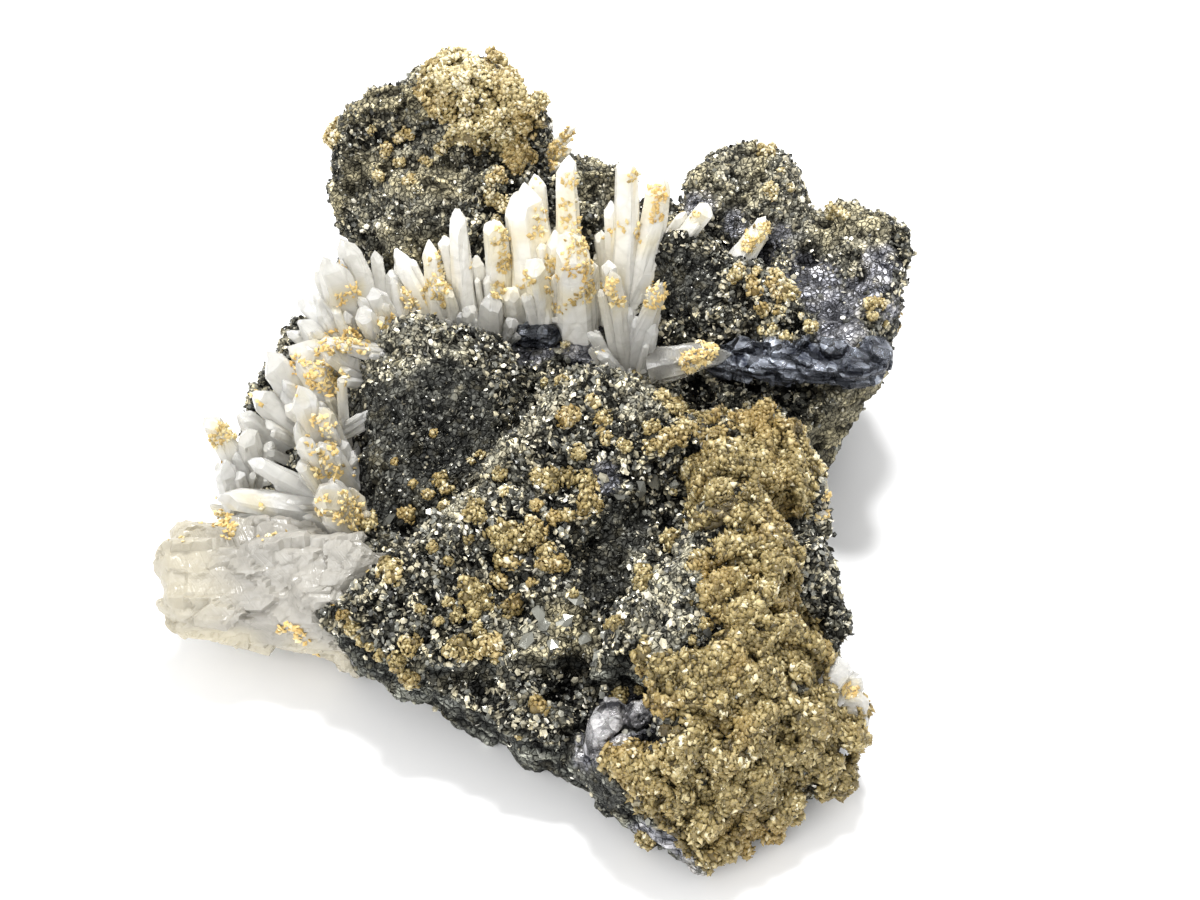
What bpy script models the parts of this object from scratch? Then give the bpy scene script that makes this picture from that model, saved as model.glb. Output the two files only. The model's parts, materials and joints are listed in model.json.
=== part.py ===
"""Pyrite with quartz and sphalerite: a hand-sized mineral specimen, modelled at its real size.

A craggy base of dark sulphides carries sprays of white quartz, a few bare sphalerite crystals and crusts of
small tan carbonate crystals. Lengths in the tables are millimetres. +X is the specimen's right, +Y its back
and +Z up, and it rests on the flat of its underside at Z = 0.
"""

import math

import bmesh
import bpy
import numpy as np
from mathutils import Matrix, Vector, noise

MM = 0.001

# The room cut between pieces that touch, and the least of it that thinning their meshes may leave.
GAP = 0.6
LEAST_GAP = 0.3

# A point on a sharp edge moves further than the room, so that the faces beside it move by all of it. This is
# the most times further.
SHARPEST = 2.5

# The size of one cell of the skin that wraps the sulphide lumps, and the triangles it is thinned to.
SKIN_CELL = 1.15
BASE_TRIANGLES = 3900

# Everything below this height on the underside is broken off flat.
FLAT_BELOW = 1.3

# Unevenness of the sulphide surface: wavelength and depth of each layer, and the seed of its pattern.
ROUGHNESS_LAYERS = ((14.0, 1.9), (7.5, 1.8), (4.0, 0.6))
ROUGHNESS_SEED = 5

# A quartz crystal is a little wider at its foot and narrower below its point, and every second corner of
# that shoulder sits lower. All are shares of its radius. Its foot is sunk this many millimetres.
FOOT_WIDTH = 1.08
SHOULDER_WIDTH = 0.9
SHOULDER_STEP = 0.35
FOOT_DEPTH = 5.0

# The milky root that joins a spray: how far it spreads round the feet of its crystals, at the most and
# beyond their own radius, and how far it rises above them and goes down into the rock.
ROOT_REACH = 5.0
ROOT_SPREAD = 1.6
ROOT_RISE = 0.8
ROOT_DEPTH = 9.0

# A carbonate crust: the spacing and the radii of its knobs, the cell of the skin round them, and the
# triangles it keeps for each knob.
KNOB_SPACING = 4.3
KNOB_RADII = (2.6, 3.7)
CRUST_CELL = 0.9
TRIANGLES_PER_KNOB = 10

# The triangles that a quartz spray and a sphalerite piece keep for each block they are made of.
TRIANGLES_PER_CRYSTAL = 32
TRIANGLES_PER_BLOCK = 60

# Colour, roughness and metallic value of each mineral.
FINISHES = {
    "sulphide": ((0.055, 0.056, 0.052), 0.42, 0.75),
    "quartz": ((0.86, 0.87, 0.87), 0.22, 0.0),
    "sphalerite": ((0.13, 0.14, 0.17), 0.2, 0.85),
    "carbonate": ((0.60, 0.47, 0.24), 0.4, 0.0),
}

# The sulphide lumps. Each is a crystal or a broken block, given by its corners.
LUMPS = {
    "front_slab": [
        (-33, -38, 0), (-12, -49, 0), (5, -56, 0), (16, -70, 0), (25, -77, 0), (32, -82, 0), (47, -73, 0),
        (56, -66, 0), (57, -40, 0), (54, -15, 0), (50, 8, 0), (-45, 5, 0), (-45, -20, 0), (-37, -46, 21),
        (-21, -58, 19), (-3, -61, 20), (8, -71, 17), (16, -76, 15), (55, -70, 12), (59, -60, 16),
        (59, -41, 14), (56, -26, 20), (55, 2, 22), (-48, 2, 20), (-47, -25, 18),
    ],
    "front_core": [
        (-30, -36, 22), (-4, -54, 25), (14, -60, 24), (18, -48, 26), (22, -34, 27), (30, -19, 31),
        (50, -24, 30), (50, 0, 28), (10, 8, 30), (-30, 8, 28), (-30, -36, 6), (14, -60, 6), (50, -24, 6),
        (50, 0, 6), (-30, 8, 6),
    ],
    "left_pyramid": [
        (-28, 11, 48), (-22, 10, 50.5), (-15, 8, 49.5), (-10, 9, 44), (-36, 13, 40), (-20, 22, 41),
        (-34, 24, 32), (-6, 18, 38), (-38, -7, 23), (-33, -30, 19), (-22, -30, 22), (-7, -14, 32),
        (-3, -3, 36), (-42, -8, 8), (-36, -32, 8), (0, -10, 8), (0, 20, 8), (-38, 28, 8),
    ],
    "long_ridge_upper": [
        (9, -2, 44.5), (3, -9, 44), (-1, -17, 43), (-8, -25, 40), (14, -23, 36.5), (12, -34, 34),
        (0, -38, 34), (12, 0, 45), (24, -8, 45), (33, -16, 43), (28, -21, 36), (5, 7, 34), (22, 6, 34),
        (34, -6, 34), (0, -6, 10), (-6, -25, 10), (12, -36, 10), (30, -20, 10), (22, 8, 10),
    ],
    "long_ridge_lower": [
        (-7, -24, 40), (-15, -33, 36), (-23, -38.5, 30), (-34, -43.5, 25), (4, -26, 38), (12, -41, 31),
        (10, -52, 26), (-3, -58, 24), (-12, -59, 24), (-26, -55, 23.5), (-6, -26, 10), (-32, -44, 10),
        (-24, -54, 8), (8, -56, 8), (12, -40, 10),
    ],
    "right_hump": [
        (33, -17, 43), (45, -9, 44), (50, -16, 43), (55, -24, 35), (41, -29, 38), (31, -25, 36), (36, -3, 34),
        (50, 1, 32), (58, -10, 28), (57, -28, 22), (32, -26, 10), (56, -28, 8), (50, 3, 8), (34, 0, 8),
    ],
    "right_ridge": [
        (40, -34, 45), (33, -44, 43), (23, -54, 38.5), (17, -57, 32), (14, -60, 27), (47, -48, 40),
        (42, -56, 38), (51, -45, 32), (32, -29, 31), (22, -40, 27), (16, -50, 25), (30, -62, 32),
        (50, -40, 10), (40, -60, 10), (16, -60, 10), (30, -28, 10),
    ],
    "front_bulge_upper": [
        (22, -61, 34), (31, -63, 35), (43, -57, 35), (52, -60, 29), (60, -59, 20), (61, -63, 14),
        (27, -73, 31), (40, -74, 29), (54, -70, 18), (20, -66, 30), (22, -60, 8), (58, -58, 6), (52, -72, 6),
        (22, -74, 10),
    ],
    "front_bulge_lower": [
        (21, -73, 28), (29, -76, 30), (38, -75, 27), (50, -72, 18), (58, -69, 8), (50, -75, 6), (38, -84, 7),
        (32, -88, 8), (30, -88, 13), (24, -83, 17), (17, -78, 17), (15, -74, 21), (10, -70, 10), (12, -75, 3),
        (22, -81, 1), (32, -86, 1), (50, -66, 5),
    ],
    "right_knob": [
        (49, -43, 34), (54, -41, 34), (59, -40, 25), (60, -42, 15), (57, -27, 20), (51, -30, 30),
        (57, -40, 4), (55, -26, 4), (44, -42, 6), (44, -30, 8), (57, -50, 6),
    ],
    "middle_floor": [
        (-40, 8, 24), (-10, 8, 31), (20, 4, 31), (56, 4, 24), (62, 12, 8), (58, 34, 32), (20, 42, 35),
        (-12, 46, 34), (-46, 40, 30), (-44, 8, 4), (56, 6, 2), (58, 34, 2), (-40, 44, 2),
    ],
    "ledge": [
        (35, 20, 36), (51, 18, 40), (63, 10, 42), (69, 9, 38), (78, 24, 37), (80, 32, 48), (52, 17, 33),
        (66, 12, 29), (40, 40, 40), (70, 44, 44), (44, 26, 20), (74, 26, 26), (64, 40, 18),
    ],
    "right_wall": [
        (66, 10, 30), (78, 24, 35), (69, 16, 16), (62, 11, 5), (59, 10, 0), (40, 12, 24), (40, 12, 0),
        (46, 56, 0), (62, 42, 0), (66, 58, 12), (74, 50, 32), (50, 62, 30),
    ],
    "right_rim": [
        (65, 48, 54), (75, 46, 55), (79, 38, 53), (80, 32, 51), (73, 30, 50), (66, 38, 50), (62, 34, 42),
        (79, 25, 36), (74, 20, 40), (77, 50, 34), (66, 58, 32), (64, 30, 26), (70, 52, 18),
    ],
    "drusy_dome": [
        (26, 37, 52), (33, 34, 55.5), (43, 28, 52.5), (51, 23, 48), (59, 17, 42.5), (19, 39, 45),
        (22, 22, 36), (35, 19, 36), (57, 17, 37), (31, 46, 47), (50, 40, 45), (20, 36, 16), (34, 18, 20),
        (60, 20, 20), (52, 42, 16),
    ],
    "back_right_lump": [
        (34, 52, 58), (40, 54, 64), (45, 55, 66.5), (54, 54, 64.5), (58, 53, 56), (50, 42, 51), (34, 43, 50),
        (36, 67, 52), (56, 66, 54), (30, 40, 26), (62, 40, 26), (60, 66, 24), (30, 68, 24),
    ],
    "hollow_floor": [
        (44, 34, 47), (60, 24, 44), (66, 34, 46), (66, 54, 49), (56, 56, 50), (46, 30, 20), (66, 26, 20),
        (64, 60, 16), (46, 58, 16),
    ],
    "back_middle_lump": [
        (8, 62, 57), (14, 62, 56), (20, 63, 54), (20, 54, 43), (6, 54, 43), (8, 72, 50), (22, 70, 46),
        (4, 50, 12), (24, 50, 12), (24, 70, 10), (4, 74, 8),
    ],
    "back_slab": [
        (-44, 58, 14), (-48, 40, 24), (-40, 42, 2), (-42, 60, 0), (-30, 80, 0), (0, 80, 0), (30, 68, 0),
        (48, 56, 0), (56, 62, 22), (30, 72, 26), (2, 84, 26), (-34, 86, 22), (-20, 40, 32), (30, 40, 34),
    ],
    "boulder": [
        (-47, 62, 51), (-46.5, 66, 60), (-44, 64, 66), (-34, 67, 73.5), (-23, 68, 77.5), (-11, 72, 79.5),
        (-2, 64, 74.5), (2, 60, 64), (2, 62, 52), (-47, 60, 31), (-38, 53, 34), (-9, 54, 38), (-41, 86, 42),
        (-30, 92, 56), (-10, 92, 62), (0, 84, 48), (-42, 62, 10), (-8, 54, 12), (0, 82, 8), (-34, 88, 10),
    ],
    "boulder_step": [
        (-36, 57, 52), (-31, 55, 56.5), (-22, 53, 58.5), (-10, 53, 58), (-4, 52, 50), (-36, 53, 38),
        (-33, 48, 34), (-8, 47, 36), (-30, 70, 56), (-6, 70, 56), (-32, 52, 14), (-6, 50, 14), (-20, 70, 12),
    ],
    "left_rock": [
        (-66, 3, 17), (-65.5, -5, 13), (-60, -14, 8), (-50, 18, 27), (-49, 3, 25), (-36, -16, 25),
        (-53, 36, 34), (-56, 38, 29), (-38, 28, 37), (-60, 2, 2), (-55, -12, 1), (-40, -24, 1), (-52, 34, 2),
        (-36, 20, 4), (-36, -20, 10),
    ],
    "underside": [
        (-54, -8, 0), (-42, -26, 0), (-14, -50, 0), (30, -70, 0), (50, -60, 0), (56, 0, 0), (60, 30, 0),
        (54, 52, 0), (20, 72, 0), (-20, 76, 0), (-42, 56, 0), (-54, 30, 0), (-50, -8, 14), (-36, -30, 14),
        (30, -60, 12), (52, -10, 16), (60, 30, 18), (46, 58, 16), (-20, 72, 20), (-44, 44, 18),
    ],
    "left_saddle": [
        (-8, 56, 52), (12, 56, 50), (15, 74, 44), (-6, 80, 54), (-8, 54, 20), (14, 54, 20), (16, 80, 12),
        (-6, 84, 14),
    ],
    "right_saddle": [
        (18, 54, 42), (38, 48, 44), (38, 66, 44), (20, 70, 41), (18, 50, 14), (42, 46, 14), (40, 70, 10),
        (18, 74, 10),
    ],
    "back_shoulder": [
        (34, 60, 40), (54, 62, 42), (50, 72, 26), (30, 76, 28), (8, 80, 34), (-2, 88, 26), (10, 86, 6),
        (34, 78, 4), (54, 66, 6), (40, 56, 10), (0, 76, 10),
    ],
    "boulder_back": [
        (-38, 82, 44), (-6, 86, 52), (-14, 95, 40), (-32, 93, 34), (-40, 78, 16), (-34, 91, 10), (-8, 93, 10),
        (2, 84, 30), (2, 80, 12),
    ],
    "right_foot": [
        (58, 6, 24), (70, 20, 22), (76, 40, 26), (70, 56, 22), (58, 8, 2), (66, 20, 3), (68, 40, 4),
        (62, 56, 4), (48, 12, 10), (50, 54, 10),
    ],
    "left_shoulder": [
        (-54, 34, 30), (-46, 56, 34), (-38, 60, 40), (-36, 40, 34), (-54, 36, 6), (-48, 58, 6), (-34, 60, 8),
        (-34, 36, 8),
    ],
}

# The quartz sprays. Each row is one crystal: the middle of its foot, its tip and its radius. The first number
# of a spray is the length of its points, in radii.
QUARTZ = {
    "quartz_bank_left": (1.5, [
        ((-23, 30.5, 36), (-30, 34.5, 51), 2.6), ((-21, 30, 36), (-22, 32, 55), 2.7),
        ((-26, 32, 34), (-28.5, 30, 44), 2.2), ((-18.5, 30.5, 35), (-20, 27.5, 48), 2.4),
        ((-14.5, 30.5, 34), (-15.5, 32.5, 62), 2.9), ((-11.5, 33.5, 34), (-12.5, 31.5, 51), 1.9),
        ((-8, 33.5, 34), (-8.5, 33.5, 58.5), 3.0),
    ]),
    "quartz_bank_middle": (1.7, [
        ((0.5, 33.5, 34), (-2.5, 36.5, 64), 5.0), ((3.5, 35, 35), (0.5, 43, 64), 2.4),
        ((5, 33, 35), (5, 31, 57.5), 3.2), ((9, 35, 35), (7, 41, 69.5), 2.8),
        ((8.5, 30.5, 34), (8, 27.5, 59.5), 4.6), ((12, 33.5, 34), (12, 29.5, 51), 2.6),
        ((2, 30.5, 34), (0, 24.5, 55), 3.0), ((-4, 31, 34), (-5, 25, 47), 2.2),
    ]),
    "quartz_bank_right": (1.4, [
        ((19, 33.5, 36), (19.5, 37.5, 71.5), 3.2), ((21, 34.5, 36), (26.5, 38.5, 67.5), 3.4),
        ((23, 38.5, 38), (37, 38.5, 59.5), 2.9), ((18, 32, 35), (15.5, 28, 52), 2.1),
        ((25, 38.5, 38), (24, 41.5, 53.5), 2.4), ((16, 41, 36), (14, 43.5, 50), 1.9),
    ]),
    "quartz_fork": (1.6, [
        ((20, 19.5, 31), (16, 19.5, 55.5), 2.5), ((21.5, 19.5, 31), (26, 17.5, 53.5), 2.4),
        ((23, 17, 31), (25.5, 15.5, 45), 1.8), ((16.5, 19, 31), (12, 17, 41.5), 2.0),
        ((18.5, 16, 31), (14, 12, 40), 1.8), ((22, 22, 31), (21, 24, 41), 1.6),
    ]),
    "quartz_flat_point": (1.6, [((29, 15, 35.5), (39.5, 15.5, 38), 3.4)]),
    "quartz_lone_point": (1.5, [((45, 40, 46), (50, 43, 53.5), 3.0)]),
    "quartz_trench_stub": (1.2, [
        ((-10.5, 26, 33), (-9, 23, 46.5), 3.0), ((-6.5, 27, 33), (-4.5, 22.5, 41), 1.9),
        ((-13.5, 26, 34), (-14, 25, 43), 1.9),
    ]),
    "quartz_upper_left": (1.4, [
        ((-39.5, 25.5, 36), (-42.5, 25.5, 54.5), 3.8), ((-35, 29, 36), (-40.5, 35, 53), 3.7),
        ((-30.5, 23, 38), (-33.5, 23, 49), 2.7), ((-31, 17.5, 38), (-34.5, 13.5, 50), 2.5),
        ((-43.5, 21.5, 34), (-49, 19.5, 42.5), 3.6), ((-31.5, 11, 41), (-42.5, 8, 45.5), 2.0),
        ((-40, 15, 33), (-50, 12, 41.5), 4.4), ((-45, 29, 34), (-51.5, 33, 39), 2.8),
        ((-29.5, 27.5, 38), (-31, 33.5, 46.5), 2.6), ((-35.5, 10, 36), (-42, 6, 45), 2.7),
        ((-40.5, 20.5, 36), (-45.5, 24.5, 45), 3.2),
    ]),
    "quartz_left_bank": (1.3, [
        ((-46.5, 8.5, 28), (-54, 8.5, 42), 3.9), ((-41.5, 8, 31), (-48, 8, 41), 3.4),
        ((-48.5, 4, 26), (-57, 4, 36), 3.3), ((-44, 4, 28), (-52, 7, 35.5), 3.1),
        ((-52, 2.5, 22), (-60, 2.5, 31.5), 3.1),
    ]),
    "quartz_left_cross": (1.4, [
        ((-40, -10, 25), (-43.5, -10, 48.5), 3.4), ((-37, -9, 27), (-39.5, -11, 43), 2.6),
        ((-37.5, -3.5, 27), (-36.5, -2.5, 45), 1.5), ((-39.5, -3, 28), (-30.5, -1, 32.5), 1.4),
        ((-36, -13, 22), (-40, -16, 38.5), 3.9), ((-38, -14.5, 22), (-42, -18.5, 42), 2.7),
        ((-40.5, -12, 21), (-55, -12, 31.5), 2.7), ((-40.5, -14.5, 19), (-61, -16.5, 25.5), 3.2),
        ((-43.5, -19.5, 16), (-50, -22.5, 25), 1.8), ((-35, -21, 20), (-38, -27, 37), 4.0),
        ((-34.5, -18, 21), (-37.5, -22, 34.5), 3.2), ((-37.5, -11.5, 23), (-34.5, -11.5, 33.5), 2.0),
    ]),
    "quartz_left_edge": (1.3, [
        ((-60.5, -2, 18), (-65, -2, 34), 2.6), ((-57, -2, 18), (-58, -2, 30.5), 3.2),
        ((-61, -7.5, 14), (-62, -7.5, 27), 2.9), ((-58.5, -5.5, 15), (-60, -3.5, 26.5), 2.5),
    ]),
    "quartz_milky_block": (0.55, [
        ((-28, -34, 21), (-72.5, -30.5, 21), 6.0), ((-31, -38, 17), (-71, -36.5, 16), 6.2),
        ((-34, -40, 12), (-70, -36, 11), 4.8), ((-44, -25, 19), (-71.5, -22.5, 21), 5.2),
        ((-35, -34, 26), (-55, -31, 24), 4.2), ((-32, -38, 24), (-45, -40, 22), 4.5),
        ((-36, -28, 22), (-62, -18, 21), 4.6), ((-32, -33, 24), (-30, -38, 31), 3.6),
        ((-38, -31, 22), (-40, -33, 29.5), 4.0),
    ]),
    "quartz_boulder_cluster": (1.5, [
        ((0, 70, 53), (8.5, 72, 61), 1.3), ((0, 67.5, 55), (3, 69.5, 64), 1.2),
        ((0.5, 71, 50), (7.5, 70, 56), 1.3), ((-1, 68, 51), (5, 65, 54.5), 1.3),
        ((1.5, 76, 52), (5, 74, 57), 1.2),
    ]),
    "quartz_right_stub": (1.2, [
        ((51.5, -24, 31), (58, -24, 33.5), 1.5), ((51.5, -24.5, 29), (57, -26.5, 30), 1.4),
        ((50, -24.5, 34), (54, -22.5, 36.5), 1.4),
    ]),
    "quartz_corner_knob": (0.8, [
        ((56, -61, 20), (61, -57.5, 20.5), 2.0), ((56.5, -62.5, 18), (62.5, -62.5, 19), 2.6),
        ((57.5, -62.5, 15), (61.5, -65.5, 17), 2.0), ((54.5, -61, 23), (57, -59, 26.5), 1.8),
    ]),
}

# Bare sphalerite, as blocks given by their corners.
SPHALERITE = {
    "sphalerite_pair": [
        [
            (12, -70, 23), (15, -68, 26.5), (21, -69, 27), (24, -72, 25.5), (23, -77, 22), (17, -78, 20.5),
            (12.5, -75, 20), (11, -71, 16), (22, -70, 16), (20, -78, 17), (15, -64, 18), (22, -64, 18),
        ],
        [
            (20, -74, 24), (23, -72, 26), (28, -73, 26), (30.5, -76, 23.5), (28, -79.5, 21), (22, -80, 19.5),
            (19, -77, 19), (22, -70, 16), (29, -72, 16), (26, -80, 17),
        ],
    ],
    "sphalerite_ledge": [
        [
            (36, 16, 35), (44, 10.5, 37.5), (54, 7.5, 39), (53, 14, 41), (44, 19, 39.5), (37, 21, 37),
            (37, 16.5, 31.5), (45, 12, 33), (53, 9.5, 34.5), (46, 24, 33),
        ],
        [
            (50, 9, 38.5), (60, 4, 41), (67, 3.5, 42), (70, 7, 42.5), (64, 11, 43.5), (54, 14.5, 41.5),
            (51, 12, 34), (60, 6.5, 36), (68, 6.5, 37), (62, 16, 36),
        ],
        [
            (62, 4, 42), (70.5, 4.5, 42.5), (73, 9, 41.5), (72, 15, 42), (66, 10, 43.5), (64, 6.5, 35),
            (71, 8, 34), (72, 15, 36),
        ],
    ],
    "sphalerite_trench": [
        [
            (-7, 26, 34), (-3, 24, 36.5), (3, 24.5, 37), (6, 27.5, 35.5), (4, 30, 36), (-4, 30, 36.5),
            (-6, 23.5, 31), (-1, 21, 30), (5, 23, 30), (7, 28, 29), (-8, 28, 28), (0, 32, 28),
        ],
    ],
}

# The carbonate crusts, as balls that reach over the rock they cover: the middle and the radius of each.
CRUSTS = {
    "carbonate_right_ridge": [
        (40, -38, 44, 5), (36, -43, 43, 5), (34, -48, 42, 5), (38, -50, 41, 6), (43, -43, 42, 6),
        (43, -50, 40, 6), (35, -55, 39, 5), (39, -57, 38, 5), (45, -50, 34, 5),
    ],
    "carbonate_front": [
        (25, -69, 32, 5), (30, -68, 34, 6), (35, -66, 33, 6), (43, -64, 32, 6), (50, -62, 28, 6),
        (27, -73, 30, 5), (33, -71, 31, 7), (41, -71, 29, 7), (49, -69, 26, 7), (56, -66, 17, 6),
        (30, -77, 27, 6), (37, -75, 25, 7), (44, -74, 23, 7), (51, -72, 19, 7), (25, -81, 21, 6),
        (31, -82, 21, 7), (40, -78, 17, 7), (48, -75, 14, 7), (55, -70, 10, 6), (30, -86, 16, 6),
        (37, -82, 14, 7), (45, -78, 9, 6), (32, -87, 11, 5), (38, -84, 8, 5), (19, -79, 20, 4),
    ],
    "carbonate_hump_near": [(24, -12, 44, 4), (25, -18, 42, 4), (29, -16, 42, 4), (31, -19, 39, 4),
        (27, -22, 39, 3.5)],
    "carbonate_right_hump": [
        (37, -13, 42, 4), (40, -17, 42, 5), (45, -12, 43, 4), (48, -18, 42, 4.5), (52, -21, 39, 4),
        (39, -22, 41, 4.5), (46, -24, 39, 4.5), (51, -26, 35, 4),
    ],
    "carbonate_crest": [(10, -10, 44, 2.5), (13, -12, 44, 3), (15, -16, 43, 3), (14, -19, 42, 2.5)],
    "carbonate_ridge_upper": [(2, -27, 39, 3), (6, -26, 40, 3), (9, -28, 38, 3), (11, -31, 37, 3),
        (8, -33, 36, 3)],
    "carbonate_ridge_lower": [(-6, -35, 34, 3.5), (-2, -35, 34, 3.5), (1, -37, 33, 3.5), (-4, -38, 32, 3),
        (0, -40, 31, 3.5), (4, -41, 31, 3.5)],
    "carbonate_shelf": [(-13, -46, 30, 3), (-9, -45, 29, 3.5), (-6, -49, 28, 3.5), (-9, -51, 26, 3),
        (-8, -55, 25, 3), (-2, -48, 27, 2.5)],
    "carbonate_shelf_edge": [(-21, -54, 25, 3), (-20, -56, 23, 3), (-19, -57, 20, 3)],
    "carbonate_left_rim": [(-34, -45, 21, 2.5), (-31, -48, 21, 2.5), (-29, -50, 21, 2.5)],
    "carbonate_dome": [(43, 26, 50, 3.5), (48, 25, 48, 4), (53, 27, 45, 3.5), (50, 21, 46, 3.5),
        (53, 18, 44, 3)],
    "carbonate_boulder": [
        (-19, 66, 77, 5), (-12, 69, 78, 5), (-6, 68, 76, 5), (-21, 64, 72, 5), (-15, 65, 73, 6),
        (-8, 64, 72, 6), (-3, 63, 70, 5), (-18, 62, 67, 5), (-10, 61, 65, 5), (-4, 60, 61, 4),
    ],
    "carbonate_back_lump": [(50, 52, 64, 3.5), (53, 50, 61, 3.5), (51, 48, 59, 3)],
    "carbonate_rim": [(73, 21, 44, 3), (74, 19, 42, 3), (72, 24, 47, 2.5)],
}


def clear_scene():
    for old in list(bpy.data.objects):
        bpy.data.objects.remove(old)


def hull_into(shape, corners):
    """Adds the smallest convex block around the corners, in millimetres, to a bmesh."""
    made = [shape.verts.new(Vector(c) * MM) for c in corners]
    found = bmesh.ops.convex_hull(shape, input=made)
    inner = {e for e in found["geom_interior"] + found["geom_unused"] if isinstance(e, bmesh.types.BMVert)}
    bmesh.ops.delete(shape, geom=list(inner), context="VERTS")


def object_of(name, shape):
    mesh = bpy.data.meshes.new(name)
    bmesh.ops.recalc_face_normals(shape, faces=shape.faces)
    shape.to_mesh(mesh)
    shape.free()
    made = bpy.data.objects.new(name, mesh)
    bpy.context.scene.collection.objects.link(made)
    return made


def paint(obj, finish):
    """Gives an object the material of its mineral."""
    found = bpy.data.materials.get(finish)
    if not found:
        colour, roughness, metallic = FINISHES[finish]
        found = bpy.data.materials.new(finish)
        found.use_nodes = True
        shader = found.node_tree.nodes["Principled BSDF"]
        shader.inputs["Base Color"].default_value = (*colour, 1.0)
        shader.inputs["Roughness"].default_value = roughness
        shader.inputs["Metallic"].default_value = metallic
    obj.data.materials.clear()
    obj.data.materials.append(found)


def bake_modifiers(obj):
    """Puts what the modifiers make of an object into its mesh."""
    graph = bpy.context.evaluated_depsgraph_get()
    mesh = bpy.data.meshes.new_from_object(obj.evaluated_get(graph))
    obj.modifiers.clear()
    old = obj.data
    obj.data = mesh
    bpy.data.meshes.remove(old)


def points_of(mesh):
    points = np.empty(len(mesh.vertices) * 3)
    mesh.vertices.foreach_get("co", points)
    return points.reshape(-1, 3)


def normals_of(mesh):
    normals = np.empty(len(mesh.vertices) * 3)
    mesh.vertex_normals.foreach_get("vector", normals)
    return normals.reshape(-1, 3)


def set_points(mesh, points):
    mesh.vertices.foreach_set("co", points.astype(np.float32).ravel())
    mesh.update()


def unevenness(points, layers, seed):
    """How far each point stands out, in metres: the sum of smooth noise layers of given wavelength and
    depth."""
    shift = Vector((seed * 3.7, seed * 1.9, seed * 5.3))
    out = np.zeros(len(points))
    for wavelength, depth in layers:
        scale = 1.0 / (wavelength * MM)
        out += depth * MM * np.array([noise.noise(Vector(p) * scale + shift) for p in points])
    return out


def wrap(obj, cell):
    """Wraps overlapping blocks in one closed skin of square cells."""
    skin = obj.modifiers.new("skin", "REMESH")
    skin.mode = "VOXEL"
    skin.voxel_size = cell * MM
    bake_modifiers(obj)


def thin(obj, triangles):
    obj.data.calc_loop_triangles()
    thinner = obj.modifiers.new("thin", "DECIMATE")
    thinner.ratio = min(1.0, triangles / len(obj.data.loop_triangles))
    bake_modifiers(obj)


def grown_copy(obj, by):
    """A hidden copy of a closed object with every face moved outwards, to cut room for it from its
    neighbours."""
    name = f"{obj.name}_room_{by}"
    if name in bpy.data.objects:
        return bpy.data.objects[name]
    shape = bmesh.new()
    shape.from_mesh(obj.data)
    shape.normal_update()
    moves = [vert.normal * by * MM * min(vert.calc_shell_factor(), SHARPEST) for vert in shape.verts]
    for vert, move in zip(shape.verts, moves):
        vert.co += move
    copy = object_of(name, shape)
    copy.hide_render = True
    copy.display_type = "WIRE"
    return copy


def boxes_meet(a, b):
    """Whether the boxes around two objects overlap."""
    first, second = points_of(a.data), points_of(b.data)
    return bool((first.min(0) < second.max(0)).all() and (second.min(0) < first.max(0)).all())


def combine(obj, other, operation):
    """Joins another object to this one or cuts it away. The uneven skins need the solver for closed
    meshes."""
    step = obj.modifiers.new(other.name, "BOOLEAN")
    step.operation = operation
    step.solver = "MANIFOLD"
    step.object = other
    bake_modifiers(obj)


def blocks_joined(name, blocks):
    """One closed body from overlapping convex blocks, each given by its corners in millimetres."""
    made = None
    for corners in blocks:
        shape = bmesh.new()
        hull_into(shape, corners)
        block = object_of(name if made is None else name + "_block", shape)
        if made is None:
            made = block
        else:
            combine(made, block, "UNION")
            bpy.data.objects.remove(block)
    return made


def cut_by(obj, cutters):
    """Takes away from an object each cutter that it meets, and keeps the largest piece that is left."""
    for cutter in cutters:
        if boxes_meet(obj, cutter):
            combine(obj, cutter, "DIFFERENCE")
    keep_largest(obj)


def fit_among(obj, neighbours, triangles):
    """Cuts an object clear of its neighbours, thins it, and cuts it again where thinning took up the room."""
    cut_by(obj, [grown_copy(other, GAP) for other in neighbours])
    thin(obj, triangles)
    cut_by(obj, [grown_copy(other, LEAST_GAP) for other in neighbours])


def volume_inside(faces):
    """What a closed set of triangles holds: the sum of the slender solids from the origin to each of them."""
    return sum(a.dot(b.cross(c)) for a, b, c in ([vert.co for vert in face.verts] for face in faces))


def keep_largest(obj):
    """Drops every piece of a mesh but the one that holds the most. Pieces that share no edge are separate."""
    shape = bmesh.new()
    shape.from_mesh(obj.data)
    bmesh.ops.triangulate(shape, faces=shape.faces)
    left = set(shape.faces)
    pieces = []
    while left:
        edge = [left.pop()]
        piece = list(edge)
        while edge:
            near = {face for side in edge.pop().edges for face in side.link_faces} & left
            left -= near
            piece.extend(near)
            edge.extend(near)
        pieces.append(piece)
    pieces.sort(key=volume_inside)
    bmesh.ops.delete(shape, geom=[face for piece in pieces[:-1] for face in piece], context="FACES")
    shape.to_mesh(obj.data)
    shape.free()


def make_sulphide_base():
    """The dark rock. Also returns the points of its fine skin, on which the crusts are laid."""
    shape = bmesh.new()
    for corners in LUMPS.values():
        hull_into(shape, corners)
    base = object_of("sulphide_base", shape)
    wrap(base, SKIN_CELL)
    points = points_of(base.data)
    points += normals_of(base.data) * unevenness(points, ROUGHNESS_LAYERS, ROUGHNESS_SEED)[:, None]
    set_points(base.data, points)
    fine = points / MM
    thin(base, BASE_TRIANGLES)
    points = points_of(base.data)
    points[points[:, 2] < FLAT_BELOW * MM, 2] = 0.0
    set_points(base.data, points)
    paint(base, "sulphide")
    return base, fine


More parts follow.
